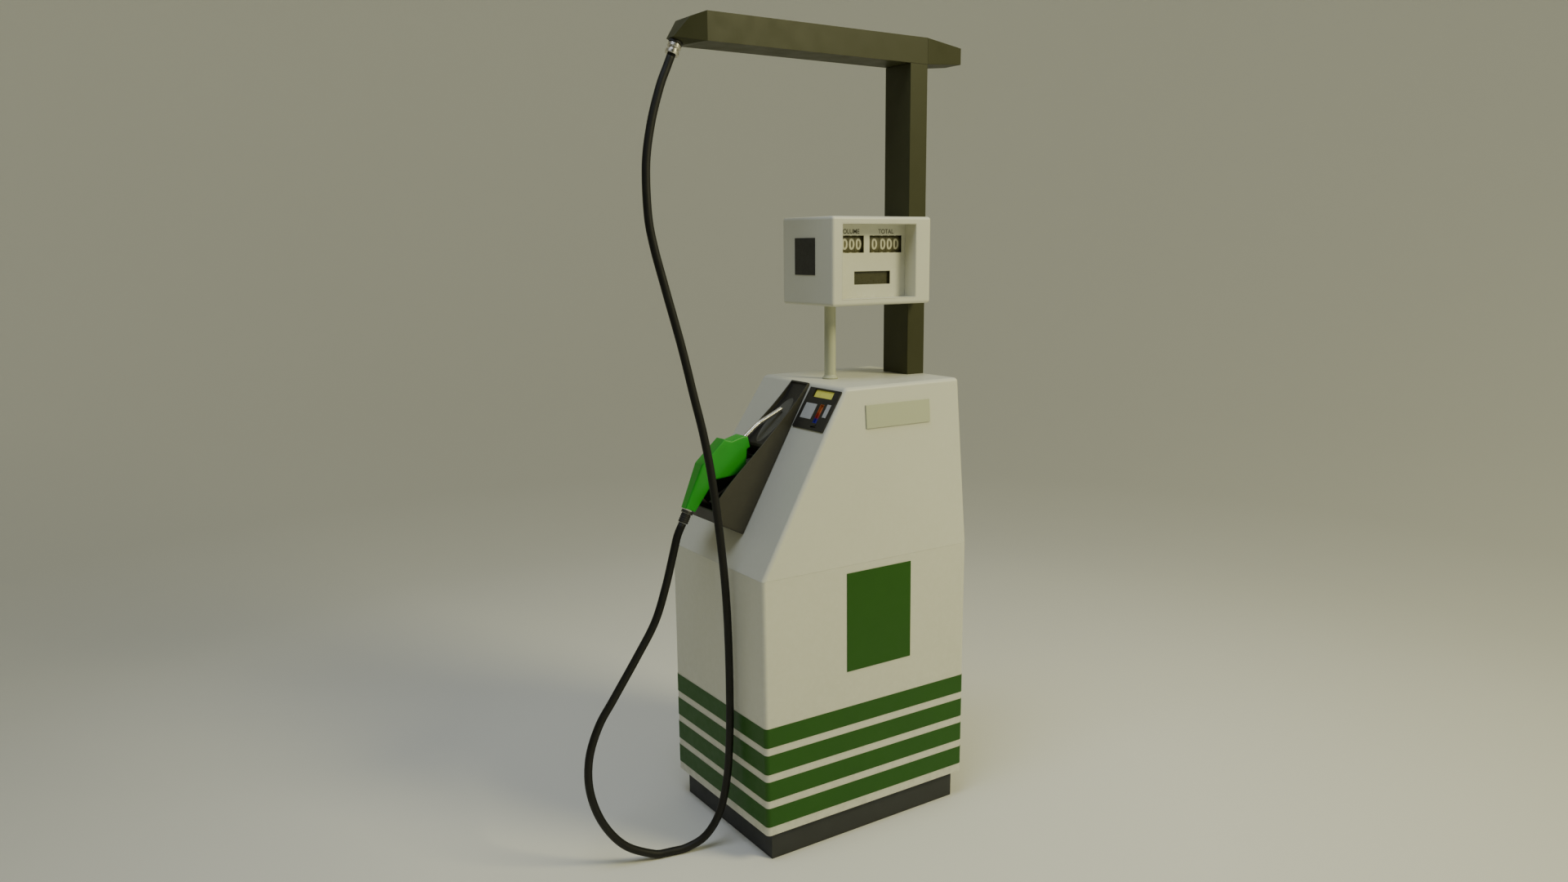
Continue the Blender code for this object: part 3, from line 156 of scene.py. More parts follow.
class Shader:
    """A node tree that is written one node at a time."""

    def __init__(self, name):
        self.material = bpy.data.materials.new(name)
        self.material.use_nodes = True
        self.tree = self.material.node_tree
        self.bsdf = self.tree.nodes["Principled BSDF"]
        self.place = self.add("ShaderNodeTexCoord").outputs["Object"]

    def add(self, kind, **settings):
        node = self.tree.nodes.new(kind)
        for name, value in settings.items():
            setattr(node, name, value)
        return node

    def link(self, source, target):
        self.tree.links.new(source, target)

    def noise(self, scale, detail=3.0, roughness=0.5):
        node = self.add("ShaderNodeTexNoise")
        node.inputs["Scale"].default_value = scale
        node.inputs["Detail"].default_value = detail
        node.inputs["Roughness"].default_value = roughness
        self.link(self.place, node.inputs["Vector"])
        return node.outputs["Fac"]

    def spread(self, value, low, high, to_low=0.0, to_high=1.0):
        """The value's range low to high, made to_low to to_high."""
        node = self.add("ShaderNodeMapRange")
        for name, number in (("From Min", low), ("From Max", high), ("To Min", to_low), ("To Max", to_high)):
            node.inputs[name].default_value = number
        self.link(value, node.inputs["Value"])
        return node.outputs["Result"]

    def times(self, a, b):
        node = self.add("ShaderNodeMath", operation="MULTIPLY")
        self.link(a, node.inputs[0])
        if isinstance(b, float):
            node.inputs[1].default_value = b
        else:
            self.link(b, node.inputs[1])
        return node.outputs[0]

    def mix(self, factor, a, b):
        """Colour a, turning to colour b as factor goes to 1."""
        node = self.add("ShaderNodeMix", data_type="RGBA")
        self.link(factor, node.inputs["Factor"])
        for value, socket in ((a, node.inputs[6]), (b, node.inputs[7])):
            if isinstance(value, tuple):
                socket.default_value = (*value, 1.0)
            else:
                self.link(value, socket)
        return node.outputs[2]

    def height(self):
        """How high the place is, in metres."""
        parts = self.add("ShaderNodeSeparateXYZ")
        self.link(self.place, parts.inputs[0])
        return parts.outputs["Z"]

    def edges(self, low=0.53, high=0.62):
        """1 on sharp outer edges."""
        return self.spread(self.add("ShaderNodeNewGeometry").outputs["Pointiness"], low, high)

    def bump(self, value, strength, distance, under=None):
        node = self.add("ShaderNodeBump")
        node.inputs["Strength"].default_value = strength
        node.inputs["Distance"].default_value = distance
        self.link(value, node.inputs["Height"])
        if under:
            self.link(under, node.inputs["Normal"])
        return node.outputs["Normal"]


def scaled(colour, by):
    return tuple(min(c * by, 1.0) for c in colour)


def surface(name, colour, rough, metal=0.0, tone=0.06, patch=2.5, grain=700.0, relief=0.00004,
            edge_wear_highlight_colour=None, edge_wear_highlight=0.0, dust=0.0, coat=0.0, specular=0.5):
    """A material: mottled colour, fine relief, uneven gloss, lighter chipped edges that are part wear and part
    painted highlight, and dust near the floor.
    """
    s = Shader(name)
    broad = s.noise(patch, 4.0, 0.55)
    fine = s.noise(grain, 2.0, 0.6)
    base = s.mix(s.spread(broad, 0.3, 0.7), scaled(colour, 1.0 - tone), scaled(colour, 1.0 + tone))
    base = s.mix(s.spread(fine, 0.35, 0.65, 0.0, 0.35), base, scaled(colour, 1.0 - tone))
    if dust:
        low = s.spread(s.height(), 0.0, 0.55, 1.0, 0.0)
        speck = s.spread(s.noise(38.0, 5.0, 0.65), 0.42, 0.72)
        base = s.mix(s.times(s.times(low, speck), dust), base, (0.23, 0.21, 0.17))
    # Lighter chipped edges: part wear, part a painted highlight along the sharp edges.
    if edge_wear_highlight:
        chipped_highlight = s.times(s.edges(), s.spread(s.noise(55.0, 4.0, 0.7), 0.45, 0.6))
        base = s.mix(s.times(chipped_highlight, edge_wear_highlight), base, edge_wear_highlight_colour or scaled(colour, 1.6))
    s.link(base, s.bsdf.inputs["Base Color"])
    s.link(s.spread(s.noise(patch * 7.0, 3.0), 0.3, 0.7, rough - 0.05, rough + 0.06), s.bsdf.inputs["Roughness"])
    ripple = s.bump(s.noise(patch * 4.0, 2.0), 0.12, relief * 10.0)
    s.link(s.bump(fine, 0.5, relief, ripple), s.bsdf.inputs["Normal"])
    s.bsdf.inputs["Metallic"].default_value = metal
    s.bsdf.inputs["Specular IOR Level"].default_value = specular
    s.bsdf.inputs["Coat Weight"].default_value = coat
    s.bsdf.inputs["Coat Roughness"].default_value = 0.25
    return s.material


def guide_material():
    """Printed colours along the card guide: orange above, red in the middle, blue at the foot."""
    s = Shader("guide_colour")
    up = s.add("ShaderNodeVectorMath", operation="DOT_PRODUCT")
    s.link(s.place, up.inputs[0])
    up.inputs[1].default_value = SLOPE_UP
    foot = SLOPE.translation.dot(SLOPE_UP)
    along = s.spread(up.outputs["Value"], foot + 0.4858, foot + 0.5470)
    ramp = s.add("ShaderNodeValToRGB")
    ramp.color_ramp.elements[0].position = 0.0
    ramp.color_ramp.elements[0].color = (0.035, 0.03, 0.36, 1.0)
    ramp.color_ramp.elements[1].position = 1.0
    ramp.color_ramp.elements[1].color = (0.66, 0.22, 0.06, 1.0)
    for position, colour in ((0.25, (0.05, 0.03, 0.34, 1.0)), (0.32, (0.42, 0.04, 0.025, 1.0)),
                             (0.52, (0.50, 0.07, 0.03, 1.0)), (0.62, (0.62, 0.19, 0.06, 1.0))):
        ramp.color_ramp.elements.new(position).color = colour
    s.link(along, ramp.inputs[0])
    fine = s.noise(900.0)
    s.link(s.mix(s.spread(fine, 0.3, 0.7, 0.0, 0.12), ramp.outputs[0], (0.05, 0.04, 0.04)),
           s.bsdf.inputs["Base Color"])
    s.link(s.spread(fine, 0.3, 0.7, 0.32, 0.42), s.bsdf.inputs["Roughness"])
    s.link(s.bump(fine, 0.3, 0.00003), s.bsdf.inputs["Normal"])
    return s.material


def display_material(name, colour, painted_glow):
    """A yellow window given a painted glow, with no lamp behind it: faint pixel rows and a slightly uneven emission.
    """
    s = Shader(name)
    uneven = s.spread(s.noise(24.0, 2.0), 0.3, 0.7)
    tint = s.mix(uneven, scaled(colour, 0.93), scaled(colour, 1.05))
    tint = s.mix(s.spread(s.noise(1500.0, 1.0), 0.4, 0.6, 0.0, 0.10), tint, scaled(colour, 0.6))
    s.link(tint, s.bsdf.inputs["Base Color"])
    # The emission is painted light that brightens the window.
    s.link(tint, s.bsdf.inputs["Emission Color"])
    s.bsdf.inputs["Emission Strength"].default_value = painted_glow
    s.link(s.spread(uneven, 0.0, 1.0, 0.22, 0.34), s.bsdf.inputs["Roughness"])
    return s.material


def hose_material():
    """Black rubber with a fine cloth impression, greyer with dust by the floor."""
    s = Shader("hose_rubber")
    base = s.mix(s.spread(s.noise(9.0, 4.0), 0.3, 0.7), (0.0075, 0.0072, 0.0052), (0.0110, 0.0106, 0.0078))
    scuff = s.times(s.spread(s.noise(65.0, 5.0, 0.7), 0.56, 0.74), s.spread(s.height(), 0.0, 0.5, 0.14, 0.05))
    base = s.mix(scuff, base, (0.090, 0.086, 0.070))
    s.link(base, s.bsdf.inputs["Base Color"])
    s.link(s.spread(s.noise(30.0, 3.0), 0.3, 0.7, 0.50, 0.62), s.bsdf.inputs["Roughness"])
    weave = s.add("ShaderNodeTexVoronoi")
    weave.inputs["Scale"].default_value = 850.0
    s.link(s.place, weave.inputs["Vector"])
    s.link(s.bump(weave.outputs["Distance"], 0.35, 0.00006), s.bsdf.inputs["Normal"])
    s.bsdf.inputs["Specular IOR Level"].default_value = 0.32
    return s.material


def stage_material():
    """A matt studio sweep with painted light: its floor palest in the middle as a painted pool of light, and darker
    towards the left of the camera as painted shade.
    """
    s = Shader("stage_grey")
    far = s.add("ShaderNodeVectorMath", operation="LENGTH")
    s.link(s.place, far.inputs[0])
    # Palest in the middle and darker outwards: a painted pool of light on the floor.
    base = s.mix(s.spread(far.outputs["Value"], 1.2, 4.4), (0.85, 0.84, 0.755), (0.555, 0.55, 0.480))
    base = s.mix(s.spread(s.height(), 0.6, 4.0), base, (0.64, 0.64, 0.575))
    # Darker towards the left of the camera: painted shade.
    left = s.add("ShaderNodeVectorMath", operation="DOT_PRODUCT")
    s.link(s.place, left.inputs[0])
    left.inputs[1].default_value = (-1.0, -0.35, 0.0)
    base = s.mix(s.spread(left.outputs["Value"], 2.6, 4.6), base, (0.22, 0.22, 0.19))
    base = s.mix(s.spread(s.noise(0.6, 4.0), 0.3, 0.7, 0.0, 0.05), base, (0.50, 0.49, 0.42))
    s.link(base, s.bsdf.inputs["Base Color"])
    s.link(s.bump(s.noise(420.0), 0.2, 0.00002), s.bsdf.inputs["Normal"])
    s.bsdf.inputs["Roughness"].default_value = 0.85
    s.bsdf.inputs["Specular IOR Level"].default_value = 0.15
    return s.material


CREAM = (0.69, 0.685, 0.565)
OLIVE = (0.044, 0.045, 0.0155)
GREEN_FILM = (0.018, 0.094, 0.002)


def make_materials():
    return {
        "cabinet_cream": surface("cabinet_cream", CREAM, 0.42, tone=0.025, edge_wear_highlight_colour=(0.80, 0.79, 0.70), edge_wear_highlight=0.35,
                                 dust=0.30, coat=0.12),
        "mast_olive": surface("mast_olive", OLIVE, 0.48, tone=0.04, specular=0.32),
        "plinth_dark": surface("plinth_dark", (0.028, 0.030, 0.030), 0.58, tone=0.05),
        "stripe_green": surface("stripe_green", GREEN_FILM, 0.42, tone=0.05, patch=6.0, relief=0.00002, specular=0.3),
        "plate_grey": surface("plate_grey", (0.52, 0.54, 0.37), 0.45, tone=0.03),
        "pole_cream": surface("pole_cream", (0.52, 0.53, 0.385), 0.42, tone=0.03, patch=12.0),
        "boot_black": surface("boot_black", (0.045, 0.042, 0.028), 0.48, tone=0.14, grain=1400.0, relief=0.00008,
                              edge_wear_highlight_colour=(0.11, 0.105, 0.08), edge_wear_highlight=0.7),
        "pad_grey": surface("pad_grey", (0.105, 0.104, 0.083), 0.55, tone=0.14, patch=22.0,
                            edge_wear_highlight_colour=(0.20, 0.20, 0.18), edge_wear_highlight=0.5),
        "panel_black": surface("panel_black", (0.020, 0.019, 0.015), 0.45, tone=0.12, patch=18.0, grain=1500.0,
                               relief=0.00005, edge_wear_highlight_colour=(0.06, 0.06, 0.05), edge_wear_highlight=0.4),
        "fitting_black": surface("fitting_black", (0.018, 0.017, 0.014), 0.55, tone=0.12, patch=30.0, grain=1300.0,
                                 relief=0.00005, edge_wear_highlight_colour=(0.07, 0.07, 0.06), edge_wear_highlight=0.5),
        "display_yellow": display_material("display_yellow", (0.74, 0.72, 0.115), 0.165),
        "display_dark": surface("display_dark", (0.064, 0.062, 0.026), 0.30, tone=0.08, patch=20.0, grain=1500.0,
                                relief=0.00001),
        "trim_grey": surface("trim_grey", (0.50, 0.51, 0.50), 0.42, tone=0.04, patch=20.0, grain=1400.0,
                             relief=0.00003),
        "guide_colour": guide_material(),
        "wheel_dark": surface("wheel_dark", (0.135, 0.125, 0.060), 0.55, tone=0.22, patch=60.0, grain=420.0,
                              relief=0.00006),
        "nozzle_green": surface("nozzle_green", (0.013, 0.34, 0.012), 0.38, tone=0.07, patch=14.0, grain=1100.0,
                                relief=0.00005, edge_wear_highlight_colour=(0.10, 0.50, 0.08), edge_wear_highlight=0.35, coat=0.10),
        "cast_metal": surface("cast_metal", (0.42, 0.42, 0.41), 0.42, metal=0.9, tone=0.10, patch=16.0, grain=520.0,
                              relief=0.00012, edge_wear_highlight_colour=(0.65, 0.65, 0.63), edge_wear_highlight=0.5),
        "bright_metal": surface("bright_metal", (0.72, 0.69, 0.60), 0.26, metal=1.0, tone=0.07, patch=30.0,
                                grain=900.0, relief=0.00002, edge_wear_highlight_colour=(0.78, 0.77, 0.73), edge_wear_highlight=0.5),
        "dark_steel": surface("dark_steel", (0.105, 0.105, 0.095), 0.40, metal=0.8, tone=0.10, patch=30.0,
                              grain=900.0, relief=0.00003),
        "steel": surface("steel", (0.34, 0.34, 0.33), 0.36, metal=0.95, tone=0.12, patch=18.0, grain=800.0,
                         relief=0.00003, edge_wear_highlight_colour=(0.6, 0.6, 0.58), edge_wear_highlight=0.4),
        "frame_paint": surface("frame_paint", (0.075, 0.085, 0.090), 0.50, tone=0.12, dust=0.4,
                               edge_wear_highlight_colour=(0.22, 0.22, 0.21), edge_wear_highlight=0.6),
        "hose_rubber": hose_material(),
        "works_paint": surface("works_paint", (0.085, 0.125, 0.150), 0.44, tone=0.10, patch=9.0, grain=600.0,
                               relief=0.00008, edge_wear_highlight_colour=(0.35, 0.36, 0.36), edge_wear_highlight=0.7, dust=0.3),
        "digit_cream": surface("digit_cream", (0.66, 0.64, 0.48), 0.50, tone=0.05, patch=60.0),
        "label_ink": surface("label_ink", (0.060, 0.056, 0.030), 0.55, tone=0.08, patch=60.0),
        "stage_grey": stage_material(),
    }


MATERIALS = make_materials()
PAINTED_WORKS = ("flow_meter", "pump_unit", "motor")  # castings that are painted over


# Meshes -----------------------------------------------------------------------------------------

WELD = 0.00002  # points nearer than this are one
FLAT = math.radians(0.5)  # faces that meet at less than this are one
BROAD = 0.01  # square metres, the smallest face that counts as a wall


def piece(name, shape, material, node=None, matrix=None, also=()):
    """An object from a bmesh in the row frame, which rides with that CAD node and stands for it."""
    if matrix:
        bmesh.ops.transform(shape, matrix=matrix, verts=shape.verts)
    bmesh.ops.recalc_face_normals(shape, faces=shape.faces)
    mesh = bpy.data.meshes.new(name)
    shape.to_mesh(mesh)
    shape.free()
    mesh.shade_smooth()
    item = bpy.data.objects.new(name, mesh)
    bpy.context.scene.collection.objects.link(item)
    mesh.materials.append(MATERIALS[material])
    for extra in also:
        mesh.materials.append(MATERIALS[extra])
    if node:
        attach(item, NODES[node]["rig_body"])
        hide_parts(node)
    return item


def soften(item, width, segments=2, angle=28.0):
    """Rounds an object's sharp edges and evens its shading."""
    if width:
        bevel = item.modifiers.new("Edges", "BEVEL")
        bevel.width = width
        bevel.segments = segments
        bevel.limit_method = "ANGLE"
        bevel.angle_limit = math.radians(angle)
        bevel.use_clamp_overlap = True
        bevel.miter_outer = "MITER_ARC"
    normals = item.modifiers.new("Normals", "WEIGHTED_NORMAL")
    normals.keep_sharp = True
    return item


def moulded_corners(shape):
    """The edges between two broad walls."""
    return [
        edge for edge in shape.edges
        if len(edge.link_faces) == 2 and all(f.calc_area() > BROAD for f in edge.link_faces)
    ]


def refined(node, width=0.001, segments=2, material=None, join_faces=True, moulded=0.0):
    """The CAD node's own shape with its faces cleaned and its edges rounded, its moulded corners by more."""
    shape = bmesh.new()
    shape.from_mesh(NODES[node].data)
    bmesh.ops.remove_doubles(shape, verts=shape.verts, dist=WELD)
    if join_faces:
        bmesh.ops.dissolve_limit(shape, angle_limit=FLAT, verts=shape.verts, edges=shape.edges)
    if moulded:
        bmesh.ops.bevel(shape, geom=moulded_corners(shape), offset=moulded, segments=5, profile=0.5,
                        affect="EDGES", clamp_overlap=False)
    for face in shape.faces:
        face.material_index = 0
    item = piece(f"{node}_skin", shape, material or SLOTS[node], node)
    for layer in [a for a in item.data.attributes if a.name == "custom_normal"]:
        item.data.attributes.remove(layer)
    return soften(item, width, segments)


def add_ring(shape, matrix, radius, sides):
    """A ring of vertices round the matrix's Z axis."""
    return [
        shape.verts.new(matrix @ Vector((radius * math.cos(a), radius * math.sin(a), 0.0)))
        for a in (2 * math.pi * i / sides for i in range(sides))
    ]


def skin_rings(shape, rings, closed=False, caps=True):
    """Faces between rings of as many vertices each, one after the other."""
    pairs = list(zip(rings, rings[1:]))
    if closed:
        pairs.append((rings[-1], rings[0]))
    for first, second in pairs:
        for i in range(len(first)):
            j = (i + 1) % len(first)
            shape.faces.new((first[i], first[j], second[j], second[i]))
    if caps and not closed:
        shape.faces.new(rings[0][::-1])
        shape.faces.new(rings[-1])


def lathe(name, node, profile, matrix, material=None, sides=72, round_by=0.0004):
    """A turned piece that stands for a CAD node: closed (radius, height) profile about the matrix's Z."""
    shape = bmesh.new()
    rings = [add_ring(shape, Matrix.Translation((0, 0, z)), radius, sides) for radius, z in profile]
    skin_rings(shape, rings, closed=True)
    item = piece(name, shape, material or SLOTS[node], node, matrix)
    return soften(item, round_by, 2)


def smooth_line(points, step):
    """Points a step apart along a Catmull-Rom curve through the given ones."""
    knots = [Vector(p) for p in points]
    knots = [2 * knots[0] - knots[1], *knots, 2 * knots[-1] - knots[-2]]
    line = [knots[1]]
    for a, b, c, d in zip(knots, knots[1:], knots[2:], knots[3:]):
        pieces = max(1, round((c - b).length / step))
        for i in range(1, pieces + 1):
            t = i / pieces
            line.append(
                0.5 * (2 * b + (c - a) * t + (2 * a - 5 * b + 4 * c - d) * t * t
                       + (3 * b - a - 3 * c + d) * t ** 3)
            )
    return line


def sweep(shape, rings, sides=24):
    """A tube through (point, direction, radius) rings, with its turn carried along evenly."""
    across = Vector((0.0, 1.0, 0.0))
    made = []
    for point, ahead, radius in rings:
        ahead = ahead.normalized()
        across = (across - ahead * across.dot(ahead)).normalized()
        other = ahead.cross(across)
        made.append([
            shape.verts.new(point + (across * math.cos(a) + other * math.sin(a)) * radius)
            for a in (2 * math.pi * i / sides for i in range(sides))
        ])
    skin_rings(shape, made)


def along_line(line):
    """Each point of a line with its direction."""
    for i, point in enumerate(line):
        yield point, line[min(i + 1, len(line) - 1)] - line[max(i - 1, 0)]


def rounded_outline(x0, x1, y0, y1, radius, steps=5):
    """The corners of a rounded rectangle, anticlockwise."""
    corners = ((x1 - radius, y1 - radius, 0), (x0 + radius, y1 - radius, 90),
               (x0 + radius, y0 + radius, 180), (x1 - radius, y0 + radius, 270))
    return [
        (cx + radius * math.cos(math.radians(start + 90 * i / steps)),
         cy + radius * math.sin(math.radians(start + 90 * i / steps)))
        for cx, cy, start in corners for i in range(steps + 1)
    ]


def add_block(shape, x0, x1, y0, y1, z0, z1, radius, material=0):
    """A box with rounded upright corners."""
    outline = rounded_outline(x0, x1, y0, y1, radius)
    rings = [[shape.verts.new((x, y, z)) for x, y in outline] for z in (z0, z1)]
    before = len(shape.faces)
    skin_rings(shape, rings)
    shape.faces.ensure_lookup_table()
    for face in shape.faces[before:]:
        face.material_index = material


# Hose -------------------------------------------------------------------------------------------


def make_hose():
    """The hose from the arm down to the floor and back up to the nozzle, kept just off the floor."""
    line = smooth_line(HOSE_ROUTE, 0.012)
    for point in line:
        point.z = max(point.z, HOSE_RADIUS + 0.0003)
    shape = bmesh.new()
    sweep(shape, [(point, ahead, HOSE_RADIUS) for point, ahead in along_line(line)], 28)
    hose = piece("hose_skin", shape, "hose_rubber")
    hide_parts("hose")
    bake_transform(hose, "root", "nozzle", start=(0.0, -0.0653, 0.0), end=(0.0, -0.0329, -0.0011))


# Cabinet ----------------------------------------------------------------------------------------


def shell_half(z):
    """The shell's half width and half depth at that height."""
    t = (z - SHELL_FOOT) / (CREASE - SHELL_FOOT)
    return [foot + (crease - foot) * t for foot, crease in zip(FOOT_HALF, CREASE_HALF)]


def make_stripes():
    """Four films round the cabinet, each one closed loop with rounded corners."""
    shape = bmesh.new()
    for i in range(STRIPE_COUNT):
        low = STRIPE_FIRST + i * STRIPE_PITCH
        rings = []
        for out, z in ((GAP, low), (GAP + STRIPE_FILM, low), (GAP + STRIPE_FILM, low + STRIPE_HEIGHT),
                       (GAP, low + STRIPE_HEIGHT)):
            half_x, half_y = shell_half(z)
            outline = rounded_outline(-half_x - out, half_x + out, -half_y - out, half_y + out, EDGE + out, 6)
            rings.append([shape.verts.new((x, y, z)) for x, y in outline])
        skin_rings(shape, rings, closed=True)
    soften(piece("stripe_bands_skin", shape, "stripe_green", "stripe_bands"), 0.0002, 1)


def make_cabinet():
    """The plinth, frame, shell, hood, door and trim."""
    refined("base_plinth", 0.0012)
    refined("machine_frame", 0.0002, 1)
    refined("cabinet_shell", 0.0004, 1)
    refined("cabinet_hood", 0.0004, 1)
    refined("service_door", 0.0004, 1)
    refined("door_lock", 0.0004)
    refined("badge_panel", 0.0004)
    refined("name_plate", 0.0003, 1)
    make_stripes()


# Boot and control panel -------------------------------------------------------------------------


def make_pad():
    """The oval pad, dished and rounded, in the boot's recess."""
    place = SLOPE @ Matrix.Translation(PAD_CENTRE) @ Matrix.Rotation(-PAD_LEAN, 4, "X")
    profile = ((1.0, -0.0032), (1.0, -0.0008), (0.985, -0.0002), (0.93, -0.0002), (0.895, -0.0007), (0.875, -0.0015),
               (0.60, -0.0016), (0.20, -0.0016))
    shape = bmesh.new()
    rings = []
    for share, z in profile:
        half_x, half_y = 0.0340 * share, 0.0880 - 0.0340 * (1.0 - share)
        rings.append([
            shape.verts.new((half_x * math.cos(a), half_y * math.sin(a), z))
            for a in (2 * math.pi * i / 96 for i in range(96))
        ])
    skin_rings(shape, rings)
    soften(piece("spout_pad_skin", shape, "pad_grey", "spout_pad", place), 0.0)


def make_keypad():
    """A grey plate with sixteen low blank keys."""
    x0, x1, y0, y1 = 0.0793, 0.1340, 0.4949, 0.5448
    shape = bmesh.new()
    add_block(shape, x0, x1, y0, y1, -0.0090, 0.0062, 0.0008)
    margin, between, count = 0.0020, 0.0012, 4
    key_x = (x1 - x0 - 2 * margin - (count - 1) * between) / count
    key_y = (y1 - y0 - 2 * margin - (count - 1) * between) / count
    for column in range(count):
        for row in range(count):
            left = x0 + margin + column * (key_x + between)
            foot = y0 + margin + row * (key_y + between)
            add_block(shape, left, left + key_x, foot, foot + key_y, 0.0060, 0.0066, 0.0014)
    soften(piece("keypad_skin", shape, "trim_grey", "keypad", SLOPE), 0.0003, 1)


SHADED_FLOOR_TOP = 0.035  # the boot's floors, painted darker as shade, all lie lower than this over the slope


def make_boot_and_panel():
    """The boot with its floors painted darker as shade, the switch lever, the pad, the customer panel and a painted
    shadow below its card guide.
    """
    tray = refined("boot_tray", 0.0012, 3, moulded=0.005)
    tray.data.materials.append(MATERIALS["panel_black"])
    # The recess floors take the darker panel_black: painted shade in the boot's hollow.
    into_slope = SLOPE.inverted()
    for face in tray.data.polygons:
        centre = into_slope @ face.center
        out = into_slope.to_3x3() @ face.normal
        face.material_index = int(out.z > 0.9 and centre.z < SHADED_FLOOR_TOP)
    refined("boot_switch_lever", 0.0004)
    make_pad()
    refined("control_panel", 0.0003, 1, join_faces=False)
    refined("panel_display", 0.0002, 1)
    refined("card_guide", 0.0002, 1)
    refined("receipt_strip", 0.0004)
    make_keypad()
    # A thin black hook under the card guide: a painted shadow of the guide's recess, not a real part.
    shape = bmesh.new()
    shadow_hook_path = smooth_line(((0.1500, 0.4790, 0.0058), (0.1560, 0.4760, 0.0060), (0.1640, 0.4765, 0.0060),
                        (0.1700, 0.4800, 0.0060), (0.1725, 0.4850, 0.0056)), 0.0015)
    sweep(shape, [(point, ahead, 0.0013) for point, ahead in along_line(shadow_hook_path)], 12)
    painted_shadow_hook = piece("card_slot_painted_shadow", shape, "panel_black", matrix=SLOPE)
    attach(painted_shadow_hook, "root")


# Mast and hose outlet ---------------------------------------------------------------------------


def make_mast():
    """The mast and arm, with the hose outlet and its swivel."""
    for node in ("mast_post", "mast_arm"):
        refined(node, 0.0015)
    for node in ("arm_cap_left", "arm_cap_right"):
        refined(node, 0.0015, 2)
    bore = 0.0085
    lathe("outlet_flange_skin", "outlet_flange",
          ((bore, GAP), (bore, 0.0090), (0.0165, 0.0090), (0.0195, 0.0070), (0.0195, GAP)), OUTLET_FRAME)
    lathe("swivel_body_skin", "swivel_body",
          ((bore, 0.0093), (bore, 0.0230), (0.0150, 0.0230), (0.0150, 0.0200), (0.0180, 0.0200), (0.0195, 0.0185),
           (0.0195, 0.0108), (0.0180, 0.0093)), OUTLET_FRAME)
    lathe("hose_coupling_skin", "hose_coupling",
          ((bore, 0.0233), (bore, 0.0388), (0.0180, 0.0388), (0.0195, 0.0373), (0.0195, 0.0290), (0.0180, 0.0275),
           (0.0150, 0.0275), (0.0150, 0.0233)), OUTLET_FRAME)


# Display head -----------------------------------------------------------------------------------


def text_shape(body, width=None, height=None, thickness=0.0002, heavier=0.0, scales=None):
    """Lettering as a bmesh centred on the origin, in the built-in font, with the scales that were used."""
    curve = bpy.data.curves.new("lettering", "FONT")
    curve.body = body
    curve.size = 1.0
    curve.resolution_u = 5
    curve.offset = heavier
    curve.extrude = 0.5
    item = bpy.data.objects.new("lettering", curve)
    bpy.context.scene.collection.objects.link(item)
    mesh = bpy.data.meshes.new_from_object(item.evaluated_get(bpy.context.evaluated_depsgraph_get()))
    bpy.data.objects.remove(item)
    bpy.data.curves.remove(curve)
    shape = bmesh.new()
    shape.from_mesh(mesh)
    bpy.data.meshes.remove(mesh)
    bmesh.ops.remove_doubles(shape, verts=shape.verts, dist=0.0001)
    xs = [v.co.x for v in shape.verts]
    ys = [v.co.y for v in shape.verts]
    middle = Vector(((min(xs) + max(xs)) / 2, (min(ys) + max(ys)) / 2, 0.0))
    if not scales:
        scales = width / (max(xs) - min(xs)), height / (max(ys) - min(ys))
    bmesh.ops.translate(shape, vec=-middle, verts=shape.verts)
    bmesh.ops.scale(shape, vec=(*scales, thickness), verts=shape.verts)
    return shape, scales


def digit_meshes():
    """The ten digits, cut across so that they bend round a wheel."""
    made, scales = [], None
    for digit in "0123456789":
        shape, scales = text_shape(digit, DIGIT_WIDTH, DIGIT_HEIGHT, 0.0006, 0.022, scales)
        for step in range(-7, 8):
            every = shape.verts[:] + shape.edges[:] + shape.faces[:]
            bmesh.ops.bisect_plane(shape, geom=every, plane_co=(0.0, step * DIGIT_HEIGHT / 16, 0.0),
                                   plane_no=(0.0, 1.0, 0.0))
        mesh = bpy.data.meshes.new(f"digit_{digit}")
        shape.to_mesh(mesh)
        shape.free()
        made.append(mesh)
    return made


def make_wheel(node, x, digits):
    """A number wheel: a smooth drum with ten digits standing just off its rim."""
    half, web, rim = WHEEL_WIDTH / 2, 0.004, 0.005
    profile = ((WHEEL_BORE, -half), (WHEEL_BORE, web - half), (WHEEL_RADIUS - rim, web - half),
               (WHEEL_RADIUS - rim, half), (WHEEL_RADIUS - 0.0004, half), (WHEEL_RADIUS, half - 0.0004),
               (WHEEL_RADIUS, 0.0004 - half), (WHEEL_RADIUS - 0.0004, -half))
    shape = bmesh.new()
    rings = [add_ring(shape, Matrix.Translation((0, 0, z)), radius, 120) for radius, z in profile]
    skin_rings(shape, rings, closed=True)
    bmesh.ops.transform(shape, matrix=Matrix.Rotation(math.pi / 2, 4, "Y"), verts=shape.verts)
    for value, mesh in enumerate(digits):
        before = len(shape.verts)
        faces_before = len(shape.faces)
        shape.from_mesh(mesh)
        shape.verts.ensure_lookup_table()
        shape.faces.ensure_lookup_table()
        for vertex in shape.verts[before:]:
            angle = math.radians(36 * value) + vertex.co.y / WHEEL_RADIUS
            radius = WHEEL_RADIUS + vertex.co.z
            vertex.co = (vertex.co.x, -radius * math.cos(angle), radius * math.sin(angle))
        for face in shape.faces[faces_before:]:
            face.material_index = 1
    item = piece(f"{node}_skin", shape, "wheel_dark", node, Matrix.Translation((x, WHEEL_Y, WHEEL_Z)),
                 also=("digit_cream",))
    item.data.set_sharp_from_angle(angle=math.radians(35))


